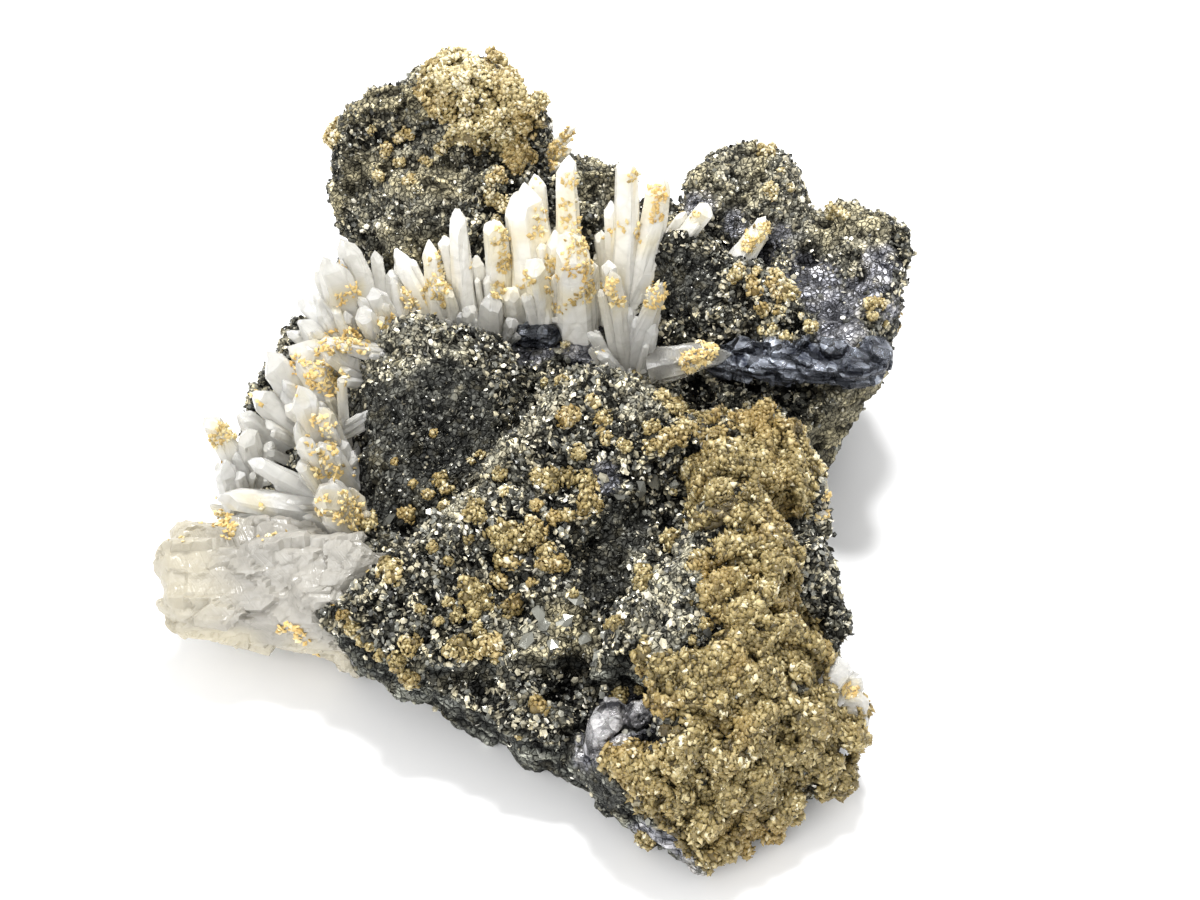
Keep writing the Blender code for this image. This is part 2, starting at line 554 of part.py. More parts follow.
def crystal_corners(foot, tip, radius, point, turn):
    """The corners of a six-sided crystal that tapers a little and ends in three large and three small
    faces."""
    foot, tip = Vector(foot), Vector(tip)
    axis = (tip - foot).normalized()
    start = foot - axis * FOOT_DEPTH
    length = (tip - start).length
    shoulder = max(length - point * radius, 0.5 * length)
    side = axis.orthogonal().normalized()
    corners = [tip]
    for corner in range(6):
        angle = turn + corner * math.pi / 3
        out = Matrix.Rotation(angle, 3, axis) @ side
        drop = SHOULDER_STEP * radius * (corner % 2)
        corners.append(start + out * radius * FOOT_WIDTH)
        corners.append(start + axis * (shoulder - drop) + out * radius * SHOULDER_WIDTH)
    return corners


def root_corners(rows):
    """The corners of the milky mass that a spray stands on: a block around the feet of its crystals."""
    corners = []
    for foot, tip, radius in rows:
        reach = min(radius + ROOT_SPREAD, ROOT_REACH)
        for corner in range(6):
            angle = corner * math.pi / 3
            out = Vector((math.cos(angle) * reach, math.sin(angle) * reach, 0))
            corners.append(Vector(foot) + out + Vector((0, 0, -ROOT_DEPTH)))
            corners.append(Vector(foot) + out * 0.7 + Vector((0, 0, ROOT_RISE)))
    return corners


def make_quartz(name, point, rows, neighbours):
    blocks = [crystal_corners(*row, point, 0.4 + 1.7 * number) for number, row in enumerate(rows)]
    if len(rows) > 1:
        blocks.append(root_corners(rows))
    spray = blocks_joined(name, blocks)
    fit_among(spray, neighbours, TRIANGLES_PER_CRYSTAL * len(blocks))
    paint(spray, "quartz")
    return spray


def make_sphalerite(name, blocks, neighbours):
    crystals = blocks_joined(name, blocks)
    fit_among(crystals, neighbours, TRIANGLES_PER_BLOCK * len(blocks))
    paint(crystals, "sphalerite")
    return crystals


def spread_over(fine, balls, draw):
    """Points of the fine skin inside the balls, no two nearer each other than the knobs' spacing."""
    inside = np.zeros(len(fine), bool)
    for x, y, z, radius in balls:
        inside |= ((fine - (x, y, z)) ** 2).sum(1) < radius**2
    left = fine[inside]
    left = left[draw.permutation(len(left))]
    chosen = []
    while len(left):
        chosen.append(left[0])
        left = left[((left - left[0]) ** 2).sum(1) > KNOB_SPACING**2]
    return chosen


def make_crust(name, balls, fine, neighbours, seed):
    draw = np.random.default_rng(seed)
    knobs = spread_over(fine, balls, draw)
    shape = bmesh.new()
    for place in knobs:
        radius = draw.uniform(*KNOB_RADII) * MM
        turned = Matrix.Rotation(draw.uniform(0, math.tau), 4, "Z")
        bmesh.ops.create_icosphere(
            shape, subdivisions=1, radius=radius, matrix=Matrix.Translation(Vector(place) * MM) @ turned
        )
    crust = object_of(name, shape)
    wrap(crust, CRUST_CELL)
    thin(crust, 2 * TRIANGLES_PER_KNOB * len(knobs))
    fit_among(crust, neighbours, TRIANGLES_PER_KNOB * len(knobs))
    paint(crust, "carbonate")
    return crust


def main():
    clear_scene()
    base, fine = make_sulphide_base()
    made = [base]
    for name, (point, rows) in QUARTZ.items():
        made.append(make_quartz(name, point, rows, made))
    for name, blocks in SPHALERITE.items():
        made.append(make_sphalerite(name, blocks, made))
    for seed, (name, balls) in enumerate(CRUSTS.items()):
        made.append(make_crust(name, balls, fine, made, seed))


main()
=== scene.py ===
"""Pyrite with quartz and sphalerite: the finish of a hand-sized mineral specimen.

The packed solids give the place of everything. Here the dark sulphide rock gets its broken and drusy surface,
the quartz its grooved, milky points, and the tan carbonate crusts their small crystals. Tables are in
millimetres, or in pixels of the 1200 x 900 photograph where they say so.
"""

import json
import math

import bmesh
import bpy
import numpy as np
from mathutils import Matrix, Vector

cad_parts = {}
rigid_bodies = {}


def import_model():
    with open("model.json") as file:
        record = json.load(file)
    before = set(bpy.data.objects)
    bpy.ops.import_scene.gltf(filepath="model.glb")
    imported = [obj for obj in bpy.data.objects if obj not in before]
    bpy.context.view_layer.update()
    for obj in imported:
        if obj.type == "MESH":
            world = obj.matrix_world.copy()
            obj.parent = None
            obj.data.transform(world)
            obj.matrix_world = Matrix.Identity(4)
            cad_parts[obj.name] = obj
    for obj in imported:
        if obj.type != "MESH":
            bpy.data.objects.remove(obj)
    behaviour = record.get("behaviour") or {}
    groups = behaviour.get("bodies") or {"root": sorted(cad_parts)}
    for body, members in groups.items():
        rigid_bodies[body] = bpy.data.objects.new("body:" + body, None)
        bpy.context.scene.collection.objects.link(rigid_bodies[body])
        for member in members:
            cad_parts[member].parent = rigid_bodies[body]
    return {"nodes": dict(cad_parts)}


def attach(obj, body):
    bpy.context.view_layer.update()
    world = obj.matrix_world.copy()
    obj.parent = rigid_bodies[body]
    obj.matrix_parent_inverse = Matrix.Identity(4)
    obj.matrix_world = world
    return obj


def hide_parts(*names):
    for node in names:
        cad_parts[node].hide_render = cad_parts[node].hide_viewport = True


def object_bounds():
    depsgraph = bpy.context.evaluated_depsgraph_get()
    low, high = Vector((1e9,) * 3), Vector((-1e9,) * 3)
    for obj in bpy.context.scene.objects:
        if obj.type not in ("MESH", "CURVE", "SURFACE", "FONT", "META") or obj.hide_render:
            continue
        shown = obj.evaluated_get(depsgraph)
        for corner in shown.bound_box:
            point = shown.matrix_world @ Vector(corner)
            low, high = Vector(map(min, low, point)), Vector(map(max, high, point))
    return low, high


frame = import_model()
CAD_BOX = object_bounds()

bl_info = {
    "name": "Pyrite, Quartz and Sphalerite Specimen",
    "version": (1, 0, 0),
    "blender": (4, 5, 0),
    "location": "3D View > Sidebar > Specimen",
    "description": "Builds the surfaces of a mineral specimen round its packed solids",
    "category": "Object",
}

MM = 0.001

# The photograph's camera: what it aims at, how far away it is and how steeply it looks down.
PHOTO_WIDTH = 1200
PHOTO_HEIGHT = 900
SENSOR_MM = 36.0
LENS_MM = 42.0
CAMERA_AIM = np.array((14.0, 0.0, 24.0))
CAMERA_DISTANCE = 290.0
CAMERA_DOWN = math.radians(40.0)

# The quartz sprays. Each row is one crystal: the middle of its foot, its tip and its radius. The first number
# of a spray is the length of its points, in radii, and the second is how clear it is. The names of those that
# stand alone, without younger crystals round them, are in LONE. The milky block has no rows: its shape is
# that of its packed solid.
QUARTZ = {
    "quartz_bank_left": (1.5, 0.2, [
        ((-23, 30.5, 36), (-30, 34.5, 51), 2.6), ((-21, 30, 36), (-22, 32, 55), 2.7),
        ((-26, 32, 34), (-28.5, 30, 44), 2.2), ((-18.5, 30.5, 35), (-20, 27.5, 48), 2.4),
        ((-14.5, 30.5, 34), (-15.5, 32.5, 62), 2.9), ((-11.5, 33.5, 34), (-12.5, 31.5, 51), 1.9),
        ((-8, 33.5, 34), (-8.5, 33.5, 58.5), 3.0),
    ]),
    "quartz_bank_middle": (1.7, 0.1, [
        ((0.5, 33.5, 34), (-2.5, 36.5, 64), 5.0), ((3.5, 35, 35), (0.5, 43, 64), 2.4),
        ((5, 33, 35), (5, 31, 57.5), 3.2), ((9, 35, 35), (7, 41, 69.5), 2.8),
        ((8.5, 30.5, 34), (8, 27.5, 59.5), 4.6), ((12, 33.5, 34), (12, 29.5, 51), 2.6),
        ((2, 30.5, 34), (0, 24.5, 55), 3.0), ((-4, 31, 34), (-5, 25, 47), 2.2),
    ]),
    "quartz_bank_right": (1.4, 0.15, [
        ((19, 33.5, 36), (19.5, 37.5, 71.5), 3.2), ((21, 34.5, 36), (26.5, 38.5, 67.5), 3.4),
        ((23, 38.5, 38), (37, 38.5, 59.5), 2.9), ((18, 32, 35), (15.5, 28, 52), 2.1),
        ((25, 38.5, 38), (24, 41.5, 53.5), 2.4), ((16, 41, 36), (14, 43.5, 50), 1.9),
    ]),
    "quartz_fork": (1.6, 0.35, [
        ((20, 19.5, 31), (16, 19.5, 55.5), 2.5), ((21.5, 19.5, 31), (26, 17.5, 53.5), 2.4),
        ((23, 17, 31), (25.5, 15.5, 45), 1.8), ((16.5, 19, 31), (12, 17, 41.5), 2.0),
        ((18.5, 16, 31), (14, 12, 40), 1.8), ((22, 22, 31), (21, 24, 41), 1.6),
    ]),
    "quartz_flat_point": (1.6, 0.8, [((29, 15, 35.5), (40.5, 15.5, 38), 3.9)]),
    "quartz_lone_point": (1.5, 0.25, [((45, 40, 46), (50, 43, 53.5), 3.3)]),
    "quartz_trench_stub": (1.2, 0.7, [
        ((-10.5, 26, 33), (-9, 23, 46.5), 3.0), ((-6.5, 27, 33), (-4.5, 22.5, 41), 1.9),
        ((-13.5, 26, 34), (-14, 25, 43), 1.9),
    ]),
    "quartz_upper_left": (1.4, 0.3, [
        ((-39.5, 25.5, 36), (-42.5, 25.5, 54.5), 3.8), ((-35, 29, 36), (-40.5, 35, 53), 3.7),
        ((-30.5, 23, 38), (-33.5, 23, 49), 2.7), ((-31, 17.5, 38), (-34.5, 13.5, 50), 2.5),
        ((-43.5, 21.5, 34), (-49, 19.5, 42.5), 3.6), ((-31.5, 11, 41), (-42.5, 8, 45.5), 2.0),
        ((-40, 15, 33), (-50, 12, 41.5), 4.4), ((-45, 29, 34), (-51.5, 33, 39), 2.8),
        ((-29.5, 27.5, 38), (-31, 33.5, 46.5), 2.6), ((-35.5, 10, 36), (-42, 6, 45), 2.7),
        ((-40.5, 20.5, 36), (-45.5, 24.5, 45), 3.2),
    ]),
    "quartz_left_bank": (1.3, 0.45, [
        ((-46.5, 8.5, 28), (-54, 8.5, 42), 3.9), ((-41.5, 8, 31), (-48, 8, 41), 3.4),
        ((-48.5, 4, 26), (-57, 4, 36), 3.3), ((-44, 4, 28), (-52, 7, 35.5), 3.1),
        ((-52, 2.5, 22), (-60, 2.5, 31.5), 3.1),
    ]),
    "quartz_left_cross": (1.4, 0.4, [
        ((-40, -10, 25), (-43.5, -10, 48.5), 3.4), ((-37, -9, 27), (-39.5, -11, 43), 2.6),
        ((-37.5, -3.5, 27), (-36.5, -2.5, 45), 1.5), ((-42, -5, 30), (-31, -3, 36.5), 1.3),
        ((-36, -13, 22), (-40, -16, 38.5), 3.9), ((-38, -14.5, 22), (-42, -18.5, 42), 2.7),
        ((-40.5, -12, 21), (-55, -12, 31.5), 2.7), ((-40.5, -14.5, 19), (-61, -16.5, 25.5), 3.2),
        ((-43.5, -19.5, 16), (-50, -22.5, 25), 1.8), ((-35, -21, 20), (-38, -27, 37), 4.0),
        ((-34.5, -18, 21), (-37.5, -22, 34.5), 3.2), ((-37.5, -11.5, 23), (-34.5, -11.5, 33.5), 2.0),
    ]),
    "quartz_left_edge": (1.3, 0.5, [
        ((-60.5, -2, 18), (-65, -2, 34), 2.6), ((-57, -2, 18), (-58, -2, 30.5), 3.2),
        ((-61, -7.5, 14), (-62, -7.5, 27), 2.9), ((-58.5, -5.5, 15), (-60, -3.5, 26.5), 2.5),
    ]),
    "quartz_milky_block": (0, 0, []),
    "quartz_boulder_cluster": (1.5, 0.1, [
        ((0, 70, 53), (8.5, 72, 61), 1.3), ((0, 67.5, 55), (3, 69.5, 64), 1.2),
        ((0.5, 71, 50), (7.5, 70, 56), 1.3), ((-1, 68, 51), (5, 65, 54.5), 1.3),
        ((1.5, 76, 52), (5, 74, 57), 1.2),
    ]),
    "quartz_right_stub": (1.2, 0.3, [
        ((51.5, -24, 31), (58, -24, 33.5), 1.5), ((51.5, -24.5, 29), (57, -26.5, 30), 1.4),
        ((50, -24.5, 34), (54, -22.5, 36.5), 1.4),
    ]),
    "quartz_corner_knob": (0.7, 0.4, [
        ((56, -61, 20), (60, -58.5, 21.5), 2.6), ((56.5, -62.5, 18), (61, -62.5, 19.5), 3.0),
        ((57.5, -62.5, 15), (60.5, -65, 17), 2.4), ((54.5, -61, 23), (57, -59.5, 26), 2.3),
    ]),
}

LONE = ("quartz_flat_point", "quartz_lone_point", "quartz_corner_knob", "quartz_right_stub")

# The packed crusts that are one continuous coat. The rest are patches of separate tufts.
COATS = ("carbonate_front", "carbonate_right_ridge", "carbonate_right_hump", "carbonate_boulder")

# Where the photograph shows tan crusts on the rock: outlines in its pixels, and the bare holes in them.
TAN_OUTLINES = [
    [
        (650, 660), (655, 700), (672, 712), (690, 728), (664, 748), (640, 745), (602, 750), (600, 766),
        (622, 780), (632, 800), (640, 812), (660, 810), (684, 826), (700, 858), (712, 880), (748, 880),
        (776, 856), (815, 836), (856, 818), (872, 780), (874, 735), (872, 712), (850, 672), (828, 650),
        (815, 618), (795, 600), (770, 618), (735, 620), (722, 645), (690, 650),
    ],
    [
        (742, 493), (762, 508), (785, 540), (800, 575), (792, 605), (770, 622), (742, 630), (715, 618),
        (700, 600), (704, 568), (718, 535), (736, 518),
    ],
    [
        (690, 402), (712, 410), (728, 432), (748, 404), (775, 400), (788, 425), (802, 448), (812, 476),
        (806, 512), (785, 520), (762, 498), (738, 484), (718, 492), (700, 512), (686, 524), (688, 488),
        (680, 470), (706, 448), (692, 430),
    ],
    [
        (430, 62), (480, 45), (516, 56), (536, 96), (538, 128), (522, 160), (492, 150), (468, 132),
        (436, 118), (418, 92),
    ],
]
BARE_HOLES = [
    (724, 742, 9), (745, 752, 7), (704, 779, 6), (811, 790, 5), (816, 742, 5), (800, 687, 6), (760, 628, 7),
    (690, 700, 6), (735, 436, 8), (684, 458, 8), (720, 470, 4), (752, 500, 6), (660, 800, 7), (700, 838, 6),
    (775, 700, 4), (480, 100, 5), (505, 120, 6), (455, 90, 4), (745, 560, 4), (757, 590, 5), (728, 600, 5),
    (640, 800, 6), (672, 760, 5),
]

# The separate tufts of tan crystals, as (x, y, radius) in the photograph's pixels.
TAN_TUFTS = [
    (433, 433, 5), (446, 485, 9), (427, 493, 5), (411, 486, 5), (411, 516, 9), (414, 504, 4), (367, 521, 8),
    (396, 462, 3), (480, 453, 5), (471, 463, 5), (494, 474, 8), (475, 510, 11), (507, 492, 5), (443, 505, 6),
    (445, 521, 4), (513, 537, 18), (529, 534, 13), (498, 532, 9), (508, 556, 9), (547, 562, 13),
    (557, 567, 8), (503, 578, 8), (531, 581, 6), (538, 477, 8), (552, 483, 9), (570, 476, 8), (585, 483, 9),
    (589, 504, 11), (572, 511, 9), (561, 519, 8), (538, 505, 6), (577, 453, 7), (568, 418, 8), (595, 409, 9),
    (604, 422, 9), (605, 435, 7), (623, 445, 6), (545, 383, 5), (560, 381, 5), (636, 375, 5), (663, 399, 7),
    (674, 409, 8), (687, 408, 6), (652, 427, 7), (656, 447, 9), (672, 439, 9), (684, 432, 9), (691, 468, 9),
    (673, 492, 4), (692, 509, 7), (669, 542, 9), (646, 578, 9), (617, 625, 7), (467, 590, 11),
    (478, 598, 13), (460, 613, 12), (450, 608, 8), (473, 611, 11), (478, 629, 8), (441, 623, 5),
    (510, 606, 11), (419, 612, 6), (459, 649, 10), (467, 657, 7), (488, 645, 10), (501, 657, 7),
    (408, 643, 9), (401, 662, 8), (411, 680, 7), (392, 570, 9), (353, 626, 6), (363, 636, 6), (371, 647, 5),
    (345, 617, 6), (380, 658, 5), (450, 560, 4), (467, 539, 4), (433, 546, 4), (572, 593, 5), (620, 693, 8),
    (612, 758, 10), (631, 756, 11), (648, 838, 8), (737, 274, 8), (756, 271, 5), (751, 286, 8),
    (772, 278, 8), (779, 293, 11), (791, 294, 8), (757, 297, 8), (761, 312, 7), (779, 314, 7), (767, 331, 7),
    (786, 339, 6), (811, 327, 6), (801, 314, 4), (771, 191, 7), (767, 150, 8), (790, 186, 4), (780, 168, 5),
    (832, 210, 8), (845, 214, 5), (875, 303, 8), (872, 318, 7), (884, 322, 5), (563, 318, 6), (564, 332, 6),
    (566, 345, 5), (386, 150, 6), (402, 138, 6), (412, 132, 7), (398, 165, 7), (380, 176, 5), (410, 182, 6),
    (425, 160, 6), (440, 150, 6), (372, 130, 5), (497, 178, 8), (492, 195, 8), (508, 205, 8), (498, 222, 6),
    (515, 165, 8), (705, 630, 7), (668, 668, 8), (655, 680, 7), (693, 640, 5), (640, 690, 4), (520, 735, 4),
]

# Where, from left to right, the two sphalerite crystals meet, in millimetres.
PAIR_SEAM = 18.3

# The bright crest of the long ridge, a path in the photograph's pixels, and how wide it is.
CREST_PATH = [
    (583, 372), (560, 402), (530, 430), (500, 458), (476, 480), (462, 505), (440, 535), (410, 562),
    (365, 600),
]
CREST_WIDTH = 6.0

# Where the rock shows bare grey metal, as (x, y, radius) in the photograph's pixels.
METAL_SPOTS = [
    (770, 240, 22), (795, 258, 24), (815, 285, 28), (740, 222, 16), (880, 262, 20), (888, 300, 20),
    (530, 335, 30), (580, 345, 20), (605, 478, 16), (700, 205, 16), (625, 720, 30), (680, 860, 30),
    (640, 850, 25), (862, 300, 22), (590, 750, 18), (845, 330, 30), (575, 330, 26),
]

# Where the druse is finest and darkest.
FINE_SPOTS = [
    (420, 430, 58), (600, 785, 30), (683, 280, 34), (445, 402, 46), (400, 478, 46), (470, 440, 34),
    (625, 530, 28), (602, 575, 20), (385, 410, 30),
]

# Where its crystals are coarse and cream grey.
PALE_SPOTS = [
    (395, 362, 48), (440, 360, 26), (675, 600, 34), (655, 630, 26), (690, 570, 24), (560, 405, 16),
    (530, 432, 14), (500, 462, 14), (478, 490, 14), (455, 520, 14), (640, 392, 26), (730, 180, 40),
    (620, 560, 26), (770, 170, 34), (845, 232, 44), (800, 215, 30), (400, 200, 50), (430, 175, 40),
    (520, 640, 30), (600, 190, 30),
]

# Where the rock is dusty and olive brown.
DUSTY_SPOTS = [
    (380, 130, 50), (400, 90, 40), (360, 190, 40), (440, 210, 50), (400, 230, 40), (470, 160, 30),
    (350, 240, 20), (600, 190, 26), (730, 170, 40), (850, 220, 40), (560, 640, 40), (850, 380, 44),
    (835, 430, 30),
]

# Where the rock falls back into hollows, which are also painted darker as shade.
HOLLOWS = [
    (643, 700, 13), (642, 728, 17), (575, 668, 16), (560, 690, 12), (700, 395, 18), (745, 372, 20),
    (760, 250, 14), (810, 250, 12), (690, 650, 8), (505, 335, 10),
]

# Larger flat crystals on the druse: (x, y, radius, brightness) in the photograph's pixels and from 0 to 1.
PLATES = [
    (389, 519, 9, 0.36), (655, 480, 13, 0.5), (640, 488, 9, 0.42), (605, 478, 7, 0.72), (540, 612, 11, 0.58),
    (562, 622, 10, 0.56), (585, 640, 9, 0.52), (528, 640, 9, 0.56), (552, 645, 9, 0.6), (575, 600, 8, 0.5),
    (672, 486, 7, 0.55), (596, 352, 7, 0.72), (558, 352, 7, 0.66), (575, 372, 7, 0.7), (545, 625, 8, 0.5),
    (600, 655, 8, 0.55), (620, 498, 7, 0.4), (668, 498, 7, 0.4),
]

# Tan crystals on the quartz: (x, y, radius) in the photograph's pixels.
TAN_ON_QUARTZ = [
    (437, 262, 8), (440, 285, 10), (432, 300, 12), (410, 298, 10), (418, 310, 10), (500, 238, 9),
    (503, 262, 8), (498, 290, 7), (570, 180, 7), (568, 205, 7), (572, 225, 9), (575, 245, 10),
    (578, 268, 12), (580, 290, 12), (556, 262, 9), (552, 285, 8), (537, 235, 7), (540, 215, 6),
    (525, 280, 8), (630, 175, 6), (655, 195, 9), (652, 215, 9), (645, 232, 9), (622, 225, 5), (608, 235, 5),
    (610, 285, 7), (617, 300, 6), (657, 290, 8), (653, 300, 7), (705, 350, 10), (690, 362, 8), (712, 342, 6),
    (335, 343, 11), (350, 340, 9), (320, 347, 7), (362, 346, 6), (320, 375, 12), (300, 365, 9),
    (330, 385, 10), (340, 378, 7), (315, 440, 10), (325, 425, 9), (320, 455, 9), (330, 445, 8),
    (335, 470, 8), (318, 470, 7), (308, 420, 6), (345, 500, 9), (325, 505, 8), (340, 515, 8), (355, 505, 7),
    (355, 520, 8), (225, 432, 8), (215, 440, 6), (222, 520, 9), (228, 530, 8), (295, 635, 8), (285, 628, 6),
    (338, 612, 7), (567, 134, 6), (558, 150, 7), (548, 160, 8), (540, 142, 7), (800, 470, 10), (795, 455, 9),
    (822, 500, 8), (850, 690, 6), (845, 722, 7), (755, 235, 7), (748, 245, 5), (765, 228, 5), (695, 212, 6),
    (582, 300, 6), (560, 305, 7), (340, 300, 6), (352, 290, 6), (385, 320, 7), (247, 500, 4), (262, 505, 4),
    (300, 392, 5),
]

# How pixels of the photograph turn to millimetres on a plate and on a tuft.
PIXELS_PER_MM = 4.8
MM_OF_TUFT = 0.21

# Crystal faces, as (size, lift, tilt, seed): of the rock's lumps, its druse and its walls, of the milky
# block, and of the sphalerite's leaves and smooth sides.
LUMP_FACETS = (8.5, 0.9, 0.1, 8)
DRUSE_FACETS = ((4.4, 0.55, 0.26, 3), (2.2, 0.45, 0.26, 4))
WALL_FACETS = ((4.2, 1.0, 0.22, 5), (1.9, 0.4, 0.2, 6))
BLOCK_FACETS = ((7.0, 0.9, 0.2, 81), (3.0, 0.28, 0.2, 82))
LEAF_FACETS = (1.5, 1.0, 0.12, 61)
FACE_FACETS = (2.6, 0.06, 0.12, 63)

# How the walls' layers and the block's chips are turned and drawn out.
WALL_TURN = np.array([(0.95, -0.25, 0.1), (0.25, 0.95, 0.1), (-0.1, -0.1, 0.99)])
WALL_STRETCH = (0.45, 0.45, 1.5)
BLOCK_STRETCH = (0.55, 1.0, 1.0)

# The tan coats' knobs, as (size, height, seed), how far their mean is taken down, how much lower the rock
# under a coat lies, and how far a coat sinks at a bare hole.
COAT_KNOBS = ((8.5, 1.3, 49), (4.4, 1.6, 45), (2.4, 0.9, 48))
COAT_MEAN = 2.5
UNDER_COAT = 0.5
BARE_DEPTH = 3.0

# How far the rock's relief goes in and out, its crest rises and its hollows fall back, and between which
# heights the broken walls end.
RELIEF_LIMITS = (-2.4, 1.3)
CREST_RISE = 1.3
HOLLOW_DEPTH = 2.2
WALL_TOP = (20.0, 30.0)

# Where the photograph shows druse on steep rock in place of a broken wall, and where it shows little wall.
NO_WALL = [(780, 690, 120), (700, 560, 90)]
LITTLE_WALL = [(440, 150, 120), (740, 180, 60)]

# What hides a point from the camera: in cells of so many pixels, another so many millimetres before it. Then
# the five directions from which a crust's open places are found, and the size of the cells in millimetres.
SEEN_CELL = 3.0
SEEN_DEPTH = 4.0
OPEN_WAYS = ((0, 0, 1), (0, -0.77, 0.64), (1, 0, 0.3), (-1, 0, 0.3), (0, 1, 0.3))
OPEN_CELL = 1.1

# What the bare holes' radii are multiplied by. Then the tufts: how far inside its circle, in pixels, a tuft's
# middle stays, and in the smallest circles how near their middle, from how many places the tufts are chosen,
# how far apart they stand, and how near a patch's solid one belongs to it.
HOLES_GROWN = 0.9
TUFT_EDGE = 2.0
TUFT_LEAST = 2.2
TUFT_TRIES = 170000
TUFTS_APART = 2.4
PATCH_REACH = 6.0

# Places tried on each quartz piece for golden scales, and where along y the crusts turn from brown to pale.
SCALE_TRIES = 16000
FRONT_TO_BACK = (-60, 75)

# A quartz crystal's width at its foot and top, in radii, and how deep its foot stands in the rock.
FOOT_WIDTH = 1.06
TOP_WIDTH = 0.74
FOOT_SINK = 5.0

# The seam of the sphalerite pair and half the floor's side.
SEAM_DEPTH = 1.5
SEAM_WIDTH = 0.8
FLOOR_SIDE = 3000.0

# Large odd numbers that scatter cells and their seed, one that mixes the result, and 32 set bits.
SCATTER = (73856093, 19349663, 83492791, 2654435761)
MIXER = 0x45D9F3B
BITS = 0xFFFFFFFF


def lattice_random(cell, seed):
    """A repeatable number from 0 to 1 for each whole-number cell: its coordinates and the seed, times large
    odd numbers, joined by exclusive or and mixed."""
    c = cell.astype(np.int64)
    h = (c[..., 0] * SCATTER[0]) ^ (c[..., 1] * SCATTER[1]) ^ (c[..., 2] * SCATTER[2]) ^ (seed * SCATTER[3])
    h &= BITS
    for _ in range(2):
        h = ((h ^ (h >> 16)) * MIXER) & BITS
    h ^= h >> 16
    return h / (BITS + 1.0)


def random_three(cell, seed):
    """Three such numbers for each cell."""
    return np.stack([lattice_random(cell, seed + k) for k in range(3)], -1)


def soft_noise(points, wavelength, seed):
    """Smooth noise from -1 to 1: the random numbers of the eight nearest corners of a lattice, blended by
    3t^2 - 2t^3."""
    q = points / wavelength
    cell = np.floor(q).astype(np.int64)
    t = q - cell
    t = t * t * (3 - 2 * t)
    out = np.zeros(len(points))
    for step in np.ndindex(2, 2, 2):
        weight = np.prod(np.where(np.array(step) == 1, t, 1 - t), axis=1)
        out += weight * lattice_random(cell + np.array(step), seed)
    return 2 * out - 1


def noise_three(points, wavelength, seed):
    """Three smooth noises, one for each direction."""
    return np.stack([soft_noise(points, wavelength, seed + k) for k in range(3)], -1)


def crystal_cells(points, size, seed):
    """Splits space into crystals, each the room nearest to one jittered lattice point. Gives each point's way
    from its crystal's middle, and three random numbers of that crystal."""
    q = points / size
    home = np.floor(q).astype(np.int64)
    best = np.full(len(q), np.inf)
    offset = np.zeros_like(q)
    owner = home.copy()
    for step in np.ndindex(3, 3, 3):
        cell = home + np.array(step) - 1
        away = q - (cell + random_three(cell, seed))
        distance = (away**2).sum(-1)
        nearer = distance < best
        best[nearer] = distance[nearer]
        offset[nearer] = away[nearer]
        owner[nearer] = cell[nearer]
    return offset * size, random_three(owner, seed + 11)


def facets(points, *kinds):
    """A surface of flat crystal faces of several kinds, each (size, lift, tilt, seed): each crystal's own
    lift, plus the slope of its own tilted plane."""
    total = 0.0
    for size, lift, tilt, seed in kinds:
        offset, own = crystal_cells(points, size, seed)
        total = total + (lift * (2 * own[:, 0] - 1) + tilt * ((2 * own - 1) * offset).sum(-1))
    return total


def knobs_of_coat(points):
    """The height of the tan coats' round knobs, of three sizes: over the middle of each crystal cell stands
    the upper half of a ball."""
    total = 0.0
    for size, lift, seed in COAT_KNOBS:
        offset, own = crystal_cells(points, size, seed)
        reach = size * (0.8 + 0.35 * own[:, 0])
        inside = np.clip(1 - (offset**2).sum(-1) / reach**2, 0, 1)
        total = total + lift * (0.6 + 0.4 * own[:, 1]) * np.sqrt(inside)
    return total - COAT_MEAN


def ramp(values, low, high):
    """0 below low, 1 above high, and smooth between: 3t^2 - 2t^3."""
    t = np.clip((values - low) / (high - low), 0, 1)
    return t * t * (3 - 2 * t)


def unit(vectors):
    """Vectors of length 1 that point the same way."""
    return vectors / np.maximum(np.linalg.norm(vectors, axis=-1, keepdims=True), 1e-12)


def columns(*values):
    """Arrays and single numbers side by side, as the columns of one array."""
    return np.stack(np.broadcast_arrays(*values), -1)


def in_box(points):
    """Points brought inside the box round the packed solids."""
    lowest, highest = (np.array(corner) / MM for corner in CAD_BOX)
    return np.clip(points, lowest, highest)


def camera_axes():
    """The camera's right, up and forward directions, and its place, in millimetres."""
    forward = np.array((0.0, math.cos(CAMERA_DOWN), -math.sin(CAMERA_DOWN)))
    up = np.array((0.0, math.sin(CAMERA_DOWN), math.cos(CAMERA_DOWN)))
    return np.array((1.0, 0.0, 0.0)), up, forward, CAMERA_AIM - forward * CAMERA_DISTANCE


def photo_pixels(points):
    """Where points, in millimetres, fall in the photograph: x, y in pixels, and their depth."""
    right, up, forward, eye = camera_axes()
    ray = points - eye
    depth = ray @ forward
    scale = LENS_MM / SENSOR_MM * PHOTO_WIDTH
    x = PHOTO_WIDTH / 2 + scale * (ray @ right) / depth
    y = PHOTO_HEIGHT / 2 - scale * (ray @ up) / depth
    return x, y, depth


def seen_in_photo(points, normals):
    """Whether each point faces the camera and, in square cells of pixels, no other lies well before it."""
    x, y, depth = photo_pixels(points)
    columns, rows = int(PHOTO_WIDTH / SEEN_CELL), int(PHOTO_HEIGHT / SEEN_CELL)
    column = np.clip((x / SEEN_CELL).astype(int), 0, columns)
    row = np.clip((y / SEEN_CELL).astype(int), 0, rows)
    place = row * (columns + 1) + column
    nearest = np.full(place.max() + 1, np.inf)
    np.minimum.at(nearest, place, depth)
    faces = (unit(camera_axes()[3] - points) * normals).sum(-1) > 0.05
    return faces & (depth < nearest[place] + SEEN_DEPTH)


